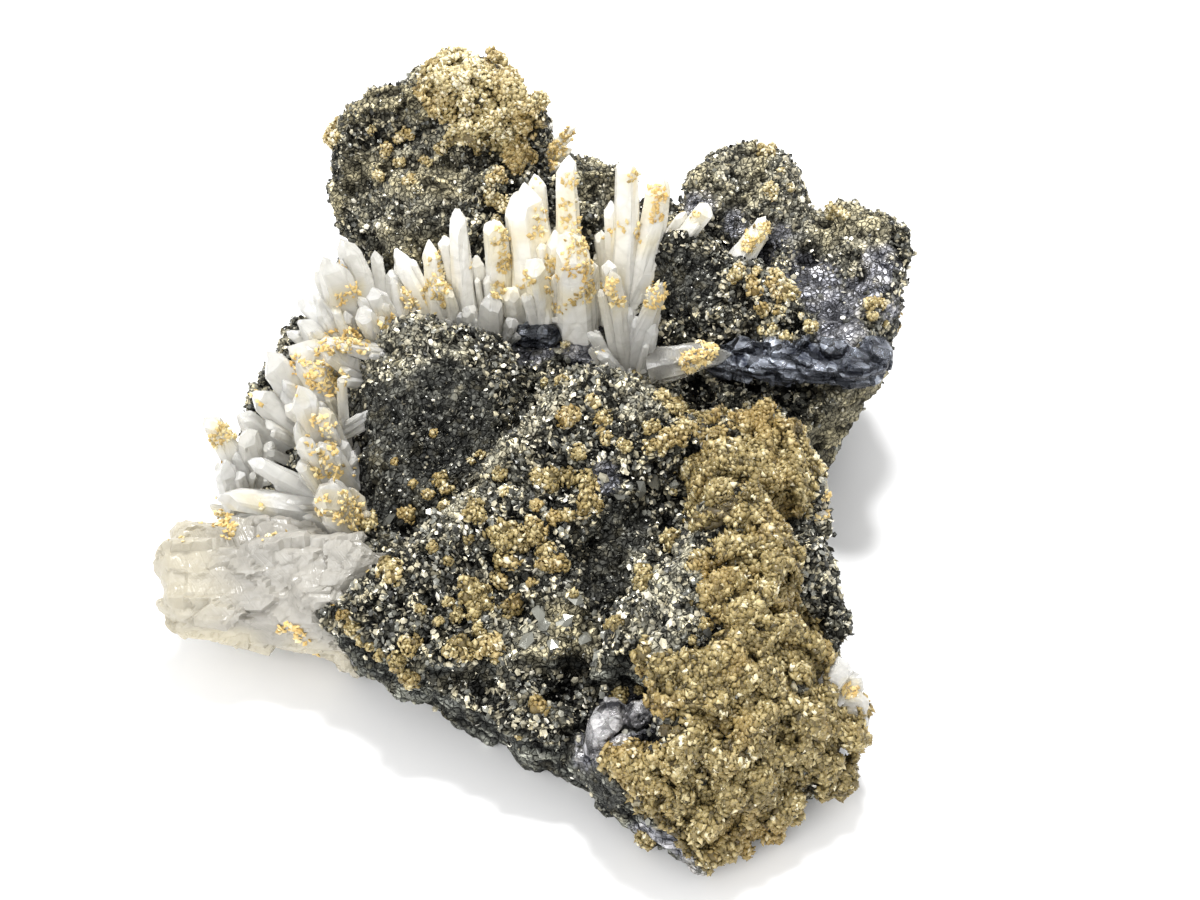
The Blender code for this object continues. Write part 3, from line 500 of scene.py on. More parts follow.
def uncovered(points, normals, others, depth):
    """Whether each point faces one of five directions and, seen from there in square cells, none of the
    others lies before it by more than the depth."""
    everything = np.vstack([points, others])
    clear = np.zeros(len(points), bool)
    for direction in OPEN_WAYS:
        side, other, axis = frames_about(unit(np.array([direction], float)), np.zeros(1))[0]
        column, row = (np.floor(everything @ way / OPEN_CELL).astype(np.int64) for way in (side, other))
        place = (column - column.min()) * (row.max() - row.min() + 1) + row - row.min()
        height = everything @ axis
        own, rest = place[: len(points)], place[len(points):]
        top = np.full(place.max() + 1, -np.inf)
        np.maximum.at(top, rest, height[len(points):])
        clear |= (normals @ axis > 0.1) & (height[: len(points)] > top[own] - depth)
    return clear


def in_circles(x, y, circles, grown=1.0, margin=0.0):
    """Whether each pixel lies in any of the circles, with their radii times grown, plus the margin."""
    inside = np.zeros(len(x), bool)
    for cx, cy, radius in circles:
        inside |= (x - cx) ** 2 + (y - cy) ** 2 < (grown * radius + margin) ** 2
    return inside


def widest_circle(x, y, circles):
    """The radius of the widest circle that each pixel lies well inside, or 0."""
    widest = np.zeros(len(x))
    for cx, cy, radius in circles:
        inside = (x - cx) ** 2 + (y - cy) ** 2 < max(radius - TUFT_EDGE, TUFT_LEAST) ** 2
        widest[inside] = np.maximum(widest[inside], radius)
    return widest


def in_outline(x, y, outline):
    """Whether each pixel lies in the outline: a line to its right crosses the outline an odd number of
    times."""
    inside = np.zeros(len(x), bool)
    for (ax, ay), (bx, by) in zip(outline, outline[1:] + outline[:1]):
        crosses = (ay > y) != (by > y)
        where = ax + (y - ay) * (bx - ax) / ((by - ay) or 1e-9)
        inside ^= crosses & (x < where)
    return inside


def in_crust(x, y, tufts=()):
    """Whether each pixel lies in one of the tan crusts' outlines or of the tufts, and in no bare hole."""
    inside = in_circles(x, y, tufts)
    for outline in TAN_OUTLINES:
        inside |= in_outline(x, y, outline)
    return inside & ~in_circles(x, y, BARE_HOLES, HOLES_GROWN)


def on_crest(points, normals):
    """Whether each point lies on the long ridge's crest: seen, and near its path in the photograph."""
    x, y, _ = photo_pixels(points)
    near = np.zeros(len(x), bool)
    for (ax, ay), (bx, by) in zip(CREST_PATH, CREST_PATH[1:]):
        length2 = (bx - ax) ** 2 + (by - ay) ** 2
        t = np.clip(((x - ax) * (bx - ax) + (y - ay) * (by - ay)) / length2, 0, 1)
        near |= (x - ax - t * (bx - ax)) ** 2 + (y - ay - t * (by - ay)) ** 2 < CREST_WIDTH**2
    return near & seen_in_photo(points, normals)


def read(items, name, width, kind=np.float32):
    """One property of all the items of a mesh, as rows of that many numbers."""
    out = np.empty(len(items) * width, kind)
    items.foreach_get(name, out)
    return out.reshape(-1, width)


def points_of(mesh):
    """A mesh's points, in millimetres."""
    return read(mesh.vertices, "co", 3).astype(float) / MM


def normals_of(mesh):
    """The normals at a mesh's points."""
    return read(mesh.vertex_normals, "vector", 3).astype(float)


def triangles_of(mesh):
    """The three point numbers of each of a mesh's triangles."""
    mesh.calc_loop_triangles()
    return read(mesh.loop_triangles, "vertices", 3, np.int32)


def set_points(mesh, points):
    """Moves a mesh's points to places in millimetres."""
    mesh.vertices.foreach_set("co", (points * MM).astype(np.float32).ravel())
    mesh.update()


def placed(name, data):
    """A new object in the scene."""
    made = bpy.data.objects.new(name, data)
    bpy.context.scene.collection.objects.link(made)
    return made


def mesh_piece(name, points, faces, smooth=False):
    """A new object from points in millimetres, none left under the floor, and faces that all have the same
    number of corners."""
    mesh = bpy.data.meshes.new(name)
    mesh.vertices.add(len(points))
    mesh.loops.add(faces.size)
    mesh.loops.foreach_set("vertex_index", faces.astype(np.int32).ravel())
    mesh.polygons.add(len(faces))
    mesh.polygons.foreach_set("loop_start", np.arange(0, faces.size, faces.shape[1], dtype=np.int32))
    set_points(mesh, np.column_stack([points[:, :2], np.maximum(points[:, 2], 0.0)]))
    mesh.update(calc_edges=True)
    mesh.polygons.foreach_set("use_smooth", np.full(len(faces), smooth))
    return placed(name, mesh)


def paint_points(obj, name, values):
    """Stores three numbers for each point, which the materials read by name. The layer's fourth number is
    1."""
    layer = obj.data.color_attributes.new(name, "FLOAT_COLOR", "POINT")
    rows = np.column_stack([values, np.ones(len(values))])
    layer.data.foreach_set("color", rows.astype(np.float32).ravel())


def finish_piece(obj, slot, material, *nodes):
    """Gives a piece its material and its body, and hides the nodes that it takes the place of. Its slot is
    not used.
    """
    obj.data.materials.clear()
    obj.data.materials.append(material)
    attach(obj, "root")
    if nodes:
        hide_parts(*nodes)


def shaded_piece(name, body, slot, material, *nodes, smooth=False):
    """A finished piece from its points, its faces and the three values of each point."""
    points, faces, values = body
    piece = mesh_piece(name, points, faces, smooth)
    paint_points(piece, "shade", values)
    finish_piece(piece, slot, material, *nodes)
    return piece


def relaxed(mesh, values, rounds):
    """Rows of values at a mesh's points, moved halfway to the mean of their neighbours' that many times."""
    a, b = read(mesh.edges, "vertices", 2, np.int32).T
    size = len(values)
    neighbours = np.bincount(a, minlength=size) + np.bincount(b, minlength=size)
    for _ in range(rounds):
        total = np.stack([np.bincount(a, v[b], size) + np.bincount(b, v[a], size) for v in values.T], -1)
        values = 0.5 * values + 0.5 * total / neighbours[:, None]
    return values


def evened_skin(node, name, cell, rounds):
    """A fine closed skin over a packed solid: its points merged, wrapped in square cells, and relaxed that
    many times. Gives the object, its points and their normals."""
    shape = bmesh.new()
    shape.from_mesh(frame["nodes"][node].data)
    bmesh.ops.remove_doubles(shape, verts=shape.verts, dist=0.002 * MM)
    mesh = bpy.data.meshes.new(name)
    shape.to_mesh(mesh)
    shape.free()
    made = placed(name, mesh)
    wrap = made.modifiers.new("wrap", "REMESH")
    wrap.mode = "VOXEL"
    wrap.voxel_size = cell * MM
    graph = bpy.context.evaluated_depsgraph_get()
    fine = bpy.data.meshes.new_from_object(made.evaluated_get(graph))
    made.modifiers.clear()
    made.data = fine
    fine.name = name
    fine.polygons.foreach_set("use_smooth", np.zeros(len(fine.polygons), bool))
    points = relaxed(fine, points_of(fine), rounds)
    set_points(fine, points)
    return made, points, normals_of(fine)


def frames_about(axes, spins):
    """For each axis, three directions at right angles, the third along it, turned about it by the spin."""
    helper = np.where(np.abs(axes[:, 2:3]) < 0.9, (0.0, 0.0, 1.0), (1.0, 0.0, 0.0))
    side = unit(np.cross(axes, helper))
    other = np.cross(axes, side)
    c, s = np.cos(spins)[:, None], np.sin(spins)[:, None]
    return np.stack([side * c + other * s, other * c - side * s, axes], axis=1)


def copies(form, places, frames, scales, values):
    """One form set at many places: each copy's points are its scaled points along its own three directions,
    and all of them get the copy's values. Gives points, faces and values."""
    corners, form_faces = form
    points = np.einsum("nkj,njd->nkd", corners[None] * scales[:, None, :], frames) + places[:, None, :]
    faces = form_faces[None] + (np.arange(len(places)) * len(corners))[:, None, None]
    return points.reshape(-1, 3), faces.reshape(-1, 3), np.repeat(values, len(corners), axis=0)


def joined(*bodies):
    """Several bodies of points, faces and values as one."""
    starts = np.cumsum([0] + [len(body[0]) for body in bodies])
    faces = [body[1] + start for body, start in zip(bodies, starts)]
    return np.vstack([body[0] for body in bodies]), np.vstack(faces), np.vstack([body[2] for body in bodies])


def double_pyramid(ring, top, bottom):
    """A closed form of three-cornered faces: a ring of corners, and a peak on each side of it."""
    count = len(ring)
    k = np.arange(count)
    after = (k + 1) % count
    upper = np.stack([k, after, np.full(count, count)], -1)
    lower = np.stack([after, k, np.full(count, count + 1)], -1)
    return np.vstack([ring, [top], [bottom]]), np.vstack([upper, lower])


def five_corners():
    """A ring of five corners at distance 1."""
    angle = np.arange(5) * math.tau / 5
    return np.stack([np.cos(angle), np.sin(angle), np.zeros(5)], -1)


def ball_points():
    """Twelve points of a ball: the corners of three golden rectangles that cross each other."""
    g = (1 + math.sqrt(5)) / 2
    return unit(np.array([
        (-1, g, 0), (1, g, 0), (-1, -g, 0), (1, -g, 0), (0, -1, g), (0, 1, g), (0, -1, -g), (0, 1, -g),
        (g, 0, -1), (g, 0, 1), (-g, 0, -1), (-g, 0, 1),
    ], float))


# The repeated forms: a thin flake with low peaks, a chip with four faces, a pointed plate and a ball.
FLAKE = double_pyramid(five_corners(), (0.2, 0, 1), (0, 0.2, -1))
CHIP = (
    np.array([(1, 0, -0.35), (-0.5, 0.87, -0.35), (-0.5, -0.87, -0.35), (0, 0, 0.9)]),
    np.array([(0, 1, 3), (1, 2, 3), (2, 0, 3), (2, 1, 0)]),
)
PLATE = double_pyramid([(1, 0, 0), (0, 1, 0), (-1, 0, 0), (0, -1, 0)], (0, 0, 1), (0, 0, -1))
BALL = (ball_points(), np.array([
    (0, 11, 5), (0, 5, 1), (0, 1, 7), (0, 7, 10), (0, 10, 11), (1, 5, 9), (5, 11, 4), (11, 10, 2), (10, 7, 6),
    (7, 1, 8), (3, 9, 4), (3, 4, 2), (3, 2, 6), (3, 6, 8), (3, 8, 9), (4, 9, 5), (2, 4, 11), (6, 2, 10),
    (8, 6, 7), (9, 8, 1),
]))


def crossed_sides(points, triangles):
    """Two sides of each triangle crossed: its normal, as long as twice its area."""
    corner = points[triangles]
    return np.cross(corner[:, 1] - corner[:, 0], corner[:, 2] - corner[:, 0])


def spread(points, triangles, weights, count, draw):
    """Random places on a surface: triangles drawn by area times weight, then a random point in each. Gives
    the places, their normals and the corners' numbers."""
    cross = crossed_sides(points, triangles)
    chance = np.linalg.norm(cross, axis=1) * weights[triangles].mean(1)
    picked = draw.choice(len(triangles), count, p=chance / chance.sum())
    u, v = draw.random(count), draw.random(count)
    over = u + v > 1
    u[over], v[over] = 1 - u[over], 1 - v[over]
    c = points[triangles[picked]]
    places = c[:, 0] + u[:, None] * (c[:, 1] - c[:, 0]) + v[:, None] * (c[:, 2] - c[:, 0])
    return places, unit(cross[picked]), triangles[picked]


def one_per_cell(places, size):
    """Thins places out to one in each cell of a lattice of that size."""
    cells = np.floor(places / size).astype(np.int64)
    return np.unique(cells, axis=0, return_index=True)[1]


class Shader:
    """A material's or group's nodes, added by kind with their inputs and settings."""

    def __init__(self, tree):
        self.tree = tree

    def plug(self, node, inputs):
        """Links each of a node's inputs to its socket, or sets it to its constant."""
        for name, value in inputs.items():
            if isinstance(value, bpy.types.NodeSocket):
                self.tree.links.new(value, node.inputs[name])
            else:
                node.inputs[name].default_value = value

    def add(self, kind, inputs=None, **settings):
        node = self.tree.nodes.new(kind)
        for name, value in settings.items():
            setattr(node, name, value)
        self.plug(node, inputs or {})
        return node

    def math(self, operation, a, b=0.0):
        return self.add("ShaderNodeMath", {0: a, 1: b}, operation=operation).outputs[0]

    def line(self, value, factor, start):
        """The value times the factor, plus the start."""
        return self.math("ADD", start, self.math("MULTIPLY", value, factor))

    def vector(self, operation, a, b=(0, 0, 0)):
        return self.add("ShaderNodeVectorMath", {0: a, 1: b}, operation=operation).outputs[0]

    def mix(self, share, a, b, blend="MIX"):
        """Two colours, each a socket or three numbers, mixed by the share of the second."""
        a, b = (c if isinstance(c, bpy.types.NodeSocket) else (*c, 1.0) for c in (a, b))
        node = self.add("ShaderNodeMix", {0: share, 6: a, 7: b}, data_type="RGBA", blend_type=blend)
        return node.outputs[2]

    def multiply(self, share, a, b):
        return self.mix(share, a, b, "MULTIPLY")

    def between(self, value, low, high):
        """Turns a value from low to high into 0 to 1."""
        return self.add("ShaderNodeMapRange", {0: value, 1: low, 2: high, 3: 0.0, 4: 1.0}).outputs[0]

    def steps(self, value, stops):
        """A colour for each value, blended between stops, each (value, colour)."""
        node = self.add("ShaderNodeValToRGB", {0: value})
        band = node.color_ramp
        while len(band.elements) < len(stops):
            band.elements.new(0.5)
        for element, (place, colour) in zip(band.elements, stops):
            element.position = place
            element.color = (*colour, 1.0)
        return node.outputs[0]

    def split(self, colour):
        return self.add("ShaderNodeSeparateColor", {0: colour}).outputs

    def attribute(self, name):
        """The first three of the numbers that the points hold under a name."""
        return self.split(self.add("ShaderNodeAttribute", attribute_name=name).outputs["Color"])

    def surface_way(self):
        """The direction that the surface faces."""
        return self.add("ShaderNodeNewGeometry").outputs["Normal"]

    def turned(self, place, rotation, scale):
        """A place turned and stretched, for a pattern that runs one way."""
        inputs = {"Vector": place, "Rotation": rotation, "Scale": scale}
        return self.add("ShaderNodeMapping", inputs).outputs[0]

    def noise(self, place, scale, detail=4.0, roughness=0.55):
        inputs = {"Vector": place, "Scale": scale, "Detail": detail, "Roughness": roughness}
        return self.add("ShaderNodeTexNoise", inputs).outputs[0]

    def crystal_faces(self, place, scale, tilt):
        inputs = {"Vector": place, "Scale": scale, "Tilt": tilt}
        return self.add("ShaderNodeGroup", inputs, node_tree=crystal_face_group()).outputs

    def bump(self, strength, distance, height, **more):
        inputs = {"Strength": strength, "Distance": distance, "Height": height, **more}
        return self.add("ShaderNodeBump", inputs).outputs[0]

    def surface(self, **inputs):
        """Plugs the Principled shader's inputs, named with _ for each space."""
        shader = self.tree.nodes["Principled BSDF"]
        self.plug(shader, {name.replace("_", " "): value for name, value in inputs.items()})


def new_material(name):
    """A material, the helper that adds its nodes, and the place on the object that its patterns follow."""
    made = bpy.data.materials.new(name)
    made.use_nodes = True
    nodes = Shader(made.node_tree)
    return made, nodes, nodes.add("ShaderNodeTexCoord").outputs["Object"]


def times(colour, factor):
    """A colour, lighter or darker by a factor."""
    return tuple(factor * c for c in colour)


def grey(value):
    """Three equal numbers."""
    return (value, value, value)


def crystal_face_group():
    """A shader group: flat crystal faces. It gives a normal tilted face by face, a random value for each face
    and a mask of the lines between them."""
    name = "crystal_faces"
    if name in bpy.data.node_groups:
        return bpy.data.node_groups[name]
    tree = bpy.data.node_groups.new(name, "ShaderNodeTree")
    for side, title, kind in (
        ("INPUT", "Vector", "Vector"), ("INPUT", "Scale", "Float"), ("INPUT", "Tilt", "Float"),
        ("OUTPUT", "Normal", "Vector"), ("OUTPUT", "Value", "Float"), ("OUTPUT", "Gap", "Float"),
    ):
        tree.interface.new_socket(title, in_out=side, socket_type="NodeSocket" + kind)
    nodes = Shader(tree)
    given = nodes.add("NodeGroupInput").outputs
    where = {"Vector": given["Vector"], "Scale": given["Scale"]}
    cells = nodes.add("ShaderNodeTexVoronoi", where).outputs["Color"]
    lines = nodes.add("ShaderNodeTexVoronoi", where, feature="DISTANCE_TO_EDGE").outputs["Distance"]
    lean = nodes.vector("SUBTRACT", cells, grey(0.5))
    scaled = nodes.add("ShaderNodeVectorMath", {0: lean, "Scale": given["Tilt"]}, operation="SCALE")
    tilted = nodes.vector("NORMALIZE", nodes.vector("ADD", nodes.surface_way(), scaled.outputs[0]))
    gap = nodes.between(lines, 0.0, 0.16)
    nodes.add("NodeGroupOutput", {"Normal": tilted, "Value": nodes.split(cells)[0], "Gap": gap})
    return tree


def rock_material(look):
    """The sulphide rock: a dark sparkling druse, grey broken walls with streaks, bare bluish metal, and brown
    under the tan crusts. Its darkest faces, its pits and hollows and the lines between its crystals are
    painted darker as shade, and what stands out is painted lighter as light."""
    material, nodes, place = new_material("sulphide_rock")
    wall, fine, metal = nodes.attribute("zone")
    height, pale, dusty = nodes.attribute("lie")
    tan = nodes.attribute("crust")[0]
    waver = nodes.add("ShaderNodeTexNoise", {"Vector": place, "Scale": 700.0, "Detail": 2.0}).outputs["Color"]
    shifted = nodes.vector("MULTIPLY", nodes.vector("SUBTRACT", waver, grey(0.5)), grey(0.0012))
    faces = nodes.crystal_faces(nodes.vector("ADD", place, shifted), 850.0, 1.1)
    large = nodes.crystal_faces(place, 380.0, 0.6)
    # The first stop, near black, is painted shade of the druse's pits.
    druse = nodes.steps(faces["Value"], [
        (0.0, look.druse_pit_shade), (0.3, times(look.druse, 0.5)), (0.6, look.druse),
        (0.75, times(look.druse, 2.4)), (0.86, times(look.brass, 0.6)), (1.0, look.brass),
    ])
    plain = nodes.steps(faces["Value"], [
        (0.0, look.druse_pit_shade), (0.35, times(look.fine, 0.6)), (0.8, look.fine), (1.0, times(look.fine, 2.2)),
    ])
    coarse = nodes.steps(large["Value"], [(0.0, grey(0.45)), (0.5, grey(1.0)), (1.0, (1.9, 1.88, 1.8))])
    druse = nodes.mix(fine, druse, plain)
    druse = nodes.mix(nodes.math("MULTIPLY", pale, 0.55), druse, look.pale)
    druse = nodes.multiply(0.7, druse, coarse)
    grain = nodes.noise(nodes.turned(place, (0.5, 0.35, 0.6), (1.0, 1.0, 4.0)), 170.0, 8.0, 0.7)
    broken = nodes.steps(grain, [
        (0.33, (0.01, 0.011, 0.011)), (0.44, times(look.wall, 0.5)), (0.53, look.wall),
        (0.61, times(look.wall, 2.4)), (0.72, (0.42, 0.42, 0.38)),
    ])
    broken = nodes.multiply(0.85, broken, coarse)
    bare = nodes.steps(grain, [(0.36, (0.012, 0.013, 0.02)), (0.5, look.metal), (0.66, (0.5, 0.5, 0.55))])
    colour = nodes.mix(metal, nodes.mix(wall, druse, broken), bare)
    specks = nodes.between(nodes.noise(place, 260.0), 0.54, 0.68)
    dust = nodes.math("ADD", nodes.math("MULTIPLY", specks, 0.25), nodes.math("MULTIPLY", dusty, 0.75))
    colour = nodes.mix(dust, colour, look.dust)
    # Painted shade and light: darker where the skin lies low or in a hollow, lighter where it stands out.
    shade = nodes.steps(height, [
        (0.0, grey(0.05)), (0.3, grey(0.4)), (0.5, grey(1.0)), (0.85, (2.4, 2.35, 2.2)),
    ])
    colour = nodes.multiply(0.92, colour, shade)
    # Painted shade: the lines between the crystals are darkened.
    gap_shade = nodes.steps(faces["Gap"], [(0.0, grey(0.03)), (0.7, grey(1.0))])
    plainer = nodes.math("ADD", nodes.math("MULTIPLY", metal, 0.5), nodes.math("MULTIPLY", fine, 0.25))
    colour = nodes.multiply(nodes.math("SUBTRACT", 0.85, plainer), colour, gap_shade)
    smoother = nodes.math("MULTIPLY", metal, 0.05)
    streaks = nodes.math("MULTIPLY", grain, nodes.math("ADD", wall, 0.4))
    way = nodes.mix(nodes.math("MULTIPLY", metal, 0.85), faces["Normal"], nodes.surface_way())
    nodes.surface(
        Base_Color=nodes.mix(tan, colour, (0.10, 0.076, 0.032)),
        Specular_IOR_Level=0.12,
        Metallic=nodes.math("MULTIPLY", nodes.line(metal, 0.6, 0.25), nodes.math("SUBTRACT", 1.0, tan)),
        Roughness=nodes.math("SUBTRACT", nodes.line(faces["Value"], 0.25, 0.36), smoother),
        Normal=nodes.bump(
            0.9, 0.001, nodes.math("ADD", streaks, nodes.math("MULTIPLY", faces["Gap"], 0.6)), Normal=way
        ),
    )
    return material


def flake_material(name, stops, metallic, roughness):
    """Small loose-looking crystals: each has its own shade, with fine steps on its faces."""
    material, nodes, place = new_material(name)
    shade, gloss, _ = nodes.attribute("shade")
    nodes.surface(
        Base_Color=nodes.steps(shade, stops),
        Metallic=metallic,
        Roughness=nodes.line(gloss, 0.25, roughness),
        Normal=nodes.bump(0.35, 0.0002, nodes.noise(place, 1800.0)),
    )
    return material


def carbonate_material(name, tan, cream):
    """Tan carbonate: pearly crystals from cream to olive tan, with painted shade between them."""
    material, nodes, place = new_material(name)
    shade, gloss, crease_shade = nodes.attribute("shade")
    colour = nodes.steps(shade, [
        (0.0, times(tan, 0.22)), (0.3, times(tan, 0.62)), (0.55, tan), (0.85, cream),
        (1.0, (0.85, 0.77, 0.55)),
    ])
    clouds = nodes.between(nodes.noise(place, 75.0, 3.0), 0.5, 0.66)
    warm = tuple(c * k for c, k in zip(tan, (1.15, 0.95, 0.62)))
    colour = nodes.mix(nodes.math("MULTIPLY", clouds, 0.45), colour, warm)
    # The crease shade darkens the colour towards dark brown: painted shade between the crystals.
    nodes.surface(
        Base_Color=nodes.mix(nodes.math("MULTIPLY", crease_shade, 0.9), colour, (0.06, 0.044, 0.018)),
        Roughness=nodes.line(gloss, 0.3, 0.24),
        Specular_IOR_Level=0.45,
        Subsurface_Weight=0.15,
        Subsurface_Radius=(1.0, 0.7, 0.3),
        Subsurface_Scale=0.0006,
        Normal=nodes.bump(0.5, 0.0003, nodes.noise(place, 1300.0)),
    )
    return material


def quartz_material(look, name, clear, foot, point):
    """Quartz: cooler and darker at the foot, milky above, with fine grooves across the faces, inner veils,
    grey cracks and clouds, and warm stains where the tan crystals lie."""
    material, nodes, place = new_material(name)
    share, _, stained = nodes.attribute("shade")
    white = tuple(min(0.98, 1.03 * c) for c in point)
    veils = nodes.between(nodes.noise(place, 210.0, 6.0, 0.62), 0.40, 0.62)
    colour = nodes.mix(nodes.math("MULTIPLY", veils, 0.55), nodes.mix(share, foot, point), white)
    cracks = nodes.crystal_faces(place, 260.0, 0.5)
    cracked = nodes.math("MULTIPLY", nodes.math("SUBTRACT", 1.0, cracks["Gap"]), 0.3)
    colour = nodes.mix(cracked, colour, times(point, 0.62))
    clouds = nodes.between(nodes.noise(place, 95.0, 5.0, 0.6), 0.52, 0.68)
    colour = nodes.mix(nodes.math("MULTIPLY", clouds, 0.3), colour, times(point, 0.62))
    along = nodes.math("MULTIPLY", nodes.attribute("along")[0], 40.0)
    wave = nodes.add("ShaderNodeTexNoise", {"W": along, "Scale": 1.0, "Detail": 5.0}, noise_dimensions="1D")
    soft = nodes.math("MULTIPLY", nodes.noise(place, 420.0), 0.8)
    height = nodes.math("ADD", nodes.math("MULTIPLY", wave.outputs[0], 0.3), soft)
    nodes.surface(
        Base_Color=nodes.mix(stained, colour, look.stain),
        Transmission_Weight=clear,
        IOR=1.54,
        Subsurface_Weight=0.3,
        Subsurface_Radius=(1.0, 1.0, 1.0),
        Subsurface_Scale=0.002,
        Roughness=nodes.line(nodes.noise(place, 260.0, 5.0), 0.35, 0.03),
        Normal=nodes.bump(0.6, 0.0005, nodes.line(cracks["Value"], 0.35, height)),
    )
    return material


def metal_material(name, stops, streak, lift):
    """Bare sphalerite: metal with stepped cleavage, its brightest layers painted highlights and random faces
    painted glints, and paler by the lift where it faces up, as painted top light.
    """
    material, nodes, place = new_material(name)
    layers = nodes.noise(nodes.turned(place, (0.12, 0.1, 0.0), streak), 170.0, 8.0, 0.7)
    faces = nodes.crystal_faces(place, 520.0, 0.8)
    # Painted glints: random faces made several times brighter.
    glint = nodes.steps(faces["Value"], [
        (0.0, (0.35, 0.35, 0.36)), (0.55, grey(0.9)), (0.85, grey(1.6)), (1.0, (4.0, 4.0, 3.9)),
    ])
    # Painted top light: paler where the surface faces up.
    upward = nodes.split(nodes.surface_way())[2]
    paler = nodes.steps(upward, [(0.3, grey(1.0)), (0.75, (lift, lift, 0.97 * lift))])
    nodes.surface(
        Base_Color=nodes.multiply(0.8, nodes.multiply(1.0, nodes.steps(layers, stops), paler), glint),
        Metallic=0.9,
        Roughness=nodes.line(faces["Value"], 0.22, 0.14),
        Normal=nodes.bump(0.9, 0.0012, layers, Normal=faces["Normal"]),
    )
    return material


def floor_material(look):
    """A plain pale floor with a trace of unevenness in its colour."""
    material, nodes, place = new_material("studio_floor")
    colour = nodes.mix(nodes.noise(place, 3.0), look.floor, times(look.floor, 0.99))
    nodes.surface(Base_Color=colour, Roughness=0.7)
    return material


# The three kinds of setting, each with its name, its description and its default.
def number_setting(name, description, default, smallest=0.0, **more):
    return bpy.props.FloatProperty(name=name, description=description, default=default, min=smallest, **more)


def count_setting(name, description, default, smallest=0):
    return bpy.props.IntProperty(name=name, description=description, default=default, min=smallest)


def colour_setting(name, description, default):
    return bpy.props.FloatVectorProperty(name=name, description=description, subtype="COLOR", default=default)


class SpecimenRock(bpy.types.PropertyGroup):
    """The sulphide rock and its druse."""

    cell: number_setting("Skin cell", "Size of the cells of the rock's skin, in mm", 0.94, 0.6)
    flakes: count_setting("Flakes", "How many pyrite flakes the druse has", 19000)
    flake_size: number_setting("Flake size", "Radius of a large flake, in mm", 0.95, 0.1)
    grains: count_setting("Grains", "How many small pyrite grains the druse has", 20000)
    grain_size: number_setting("Grain size", "Radius of a large grain, in mm", 0.52, 0.1)
    # Near black: painted shade of the druse's pits.
    druse_pit_shade: colour_setting("Pits", "Darkest colour of the druse", (0.006, 0.0065, 0.006))
    druse: colour_setting("Druse", "Main colour of the druse", (0.0458, 0.0458, 0.0396))
    fine: colour_setting("Fine druse", "Colour of the finest druse", (0.0704, 0.0713, 0.0651))
    pale: colour_setting("Pale druse", "Colour of the coarse pale druse", (0.405, 0.392, 0.321))
    brass: colour_setting("Brass", "Colour of bright pyrite faces", (0.651, 0.598, 0.44))
    wall: colour_setting("Wall", "Colour of the broken walls", (0.0968, 0.101, 0.0933))
    metal: colour_setting("Metal", "Colour of bare metal in the rock", (0.256, 0.26, 0.288))
    dust: colour_setting("Dust", "Colour of the brown dust on the rock", (0.33, 0.297, 0.195))


class SpecimenCarbonate(bpy.types.PropertyGroup):
    """The tan carbonate crusts."""

    cell: number_setting("Skin cell", "Size of the cells of a crust's skin, in mm", 0.8, 0.5)
    cover: number_setting("Cover", "How many crystals a crust has on each square mm", 3.9)
    tuft: number_setting("Tuft radius", "Radius of a large tuft, in mm", 2.1, 0.5)
    crystals: count_setting("Crystals", "How many crystals a tuft has", 26, 4)
    crystal: number_setting("Crystal size", "Half the length of a large crystal, in mm", 1.02, 0.1)
    tan: colour_setting("Tan", "Main colour of the crystals", (0.312, 0.239, 0.095))
    cream: colour_setting("Cream", "Colour of the pale crystals", (0.634, 0.532, 0.29))
    gold: colour_setting("Gold", "Colour of the crystals on the quartz", (0.66, 0.48, 0.19))


class SpecimenQuartz(bpy.types.PropertyGroup):
    """The quartz."""

    young: count_setting("Young crystals", "Small crystals round the foot of each large one", 3)
    block_cell: number_setting("Block cell", "Size of the cells of the broken block's skin, in mm", 0.8, 0.4)
    foot: colour_setting("Foot", "Colour at the foot", (0.93, 0.925, 0.905))
    point: colour_setting("Point", "Colour at the point", (0.985, 0.975, 0.93))
    block: colour_setting("Block", "Colour of the massive block", (0.335, 0.322, 0.293))
    stain: colour_setting("Stain", "Colour of the warm stains", (0.93, 0.83, 0.58))


class SpecimenSphalerite(bpy.types.PropertyGroup):
    """The bare sphalerite."""

    cell: number_setting("Skin cell", "Size of the cells of its skin, in mm", 0.5, 0.3)
    silver: colour_setting("Silver", "Colour of the silvery crystals", (0.27, 0.265, 0.275))
    steel: colour_setting("Steel", "Colour of the blue-black layers", (0.055, 0.059, 0.070))


class SpecimenStage(bpy.types.PropertyGroup):
    """The floor and the light."""

    floor: colour_setting("Floor", "Colour of the floor", (0.92, 0.92, 0.92))
    sky: number_setting("Sky", "Strength of the even light", 0.95)
    key: number_setting("Key", "Power of the main light", 6.1, unit="POWER")
    fill: number_setting("Fill", "Power of the light from the front", 3.4, unit="POWER")


def rock_zones(points, normals):
    """How far each point of the rock belongs to the broken walls, the finest druse, the bare metal, the
    palest druse, the dusty rock, the hollows and the tan crusts."""
    x, y, _ = photo_pixels(points)
    seen = seen_in_photo(points, normals)

    def shown(circles):
        return seen & in_circles(x, y, circles)

    steep = 1 - ramp(normals[:, 2] + 0.22 * soft_noise(points, 9.0, 31), 0.08, 0.42)
    low = 1 - ramp(points[:, 2] + 3.0 * soft_noise(points, 12.0, 33), *WALL_TOP)
    wall = np.where(shown(NO_WALL), 0.0, np.clip(steep * (0.35 + low), 0, 1))
    wall = np.where(shown(LITTLE_WALL), 0.35 * wall, wall)
    fine = shown(FINE_SPOTS).astype(float)
    metal = shown(METAL_SPOTS) * ramp(soft_noise(points, 6.0, 35), -0.6, -0.15)
    pale = shown(PALE_SPOTS) | (~seen & (normals[:, 2] > 0.3) & (soft_noise(points, 18.0, 36) > 0.0))
    dusty = shown(DUSTY_SPOTS) * ramp(soft_noise(points, 7.0, 37), -0.5, 0.3)
    tan = seen & in_crust(x, y)
    return wall * (1 - 0.8 * fine), fine, metal, pale * (1 - fine), dusty, shown(HOLLOWS), tan


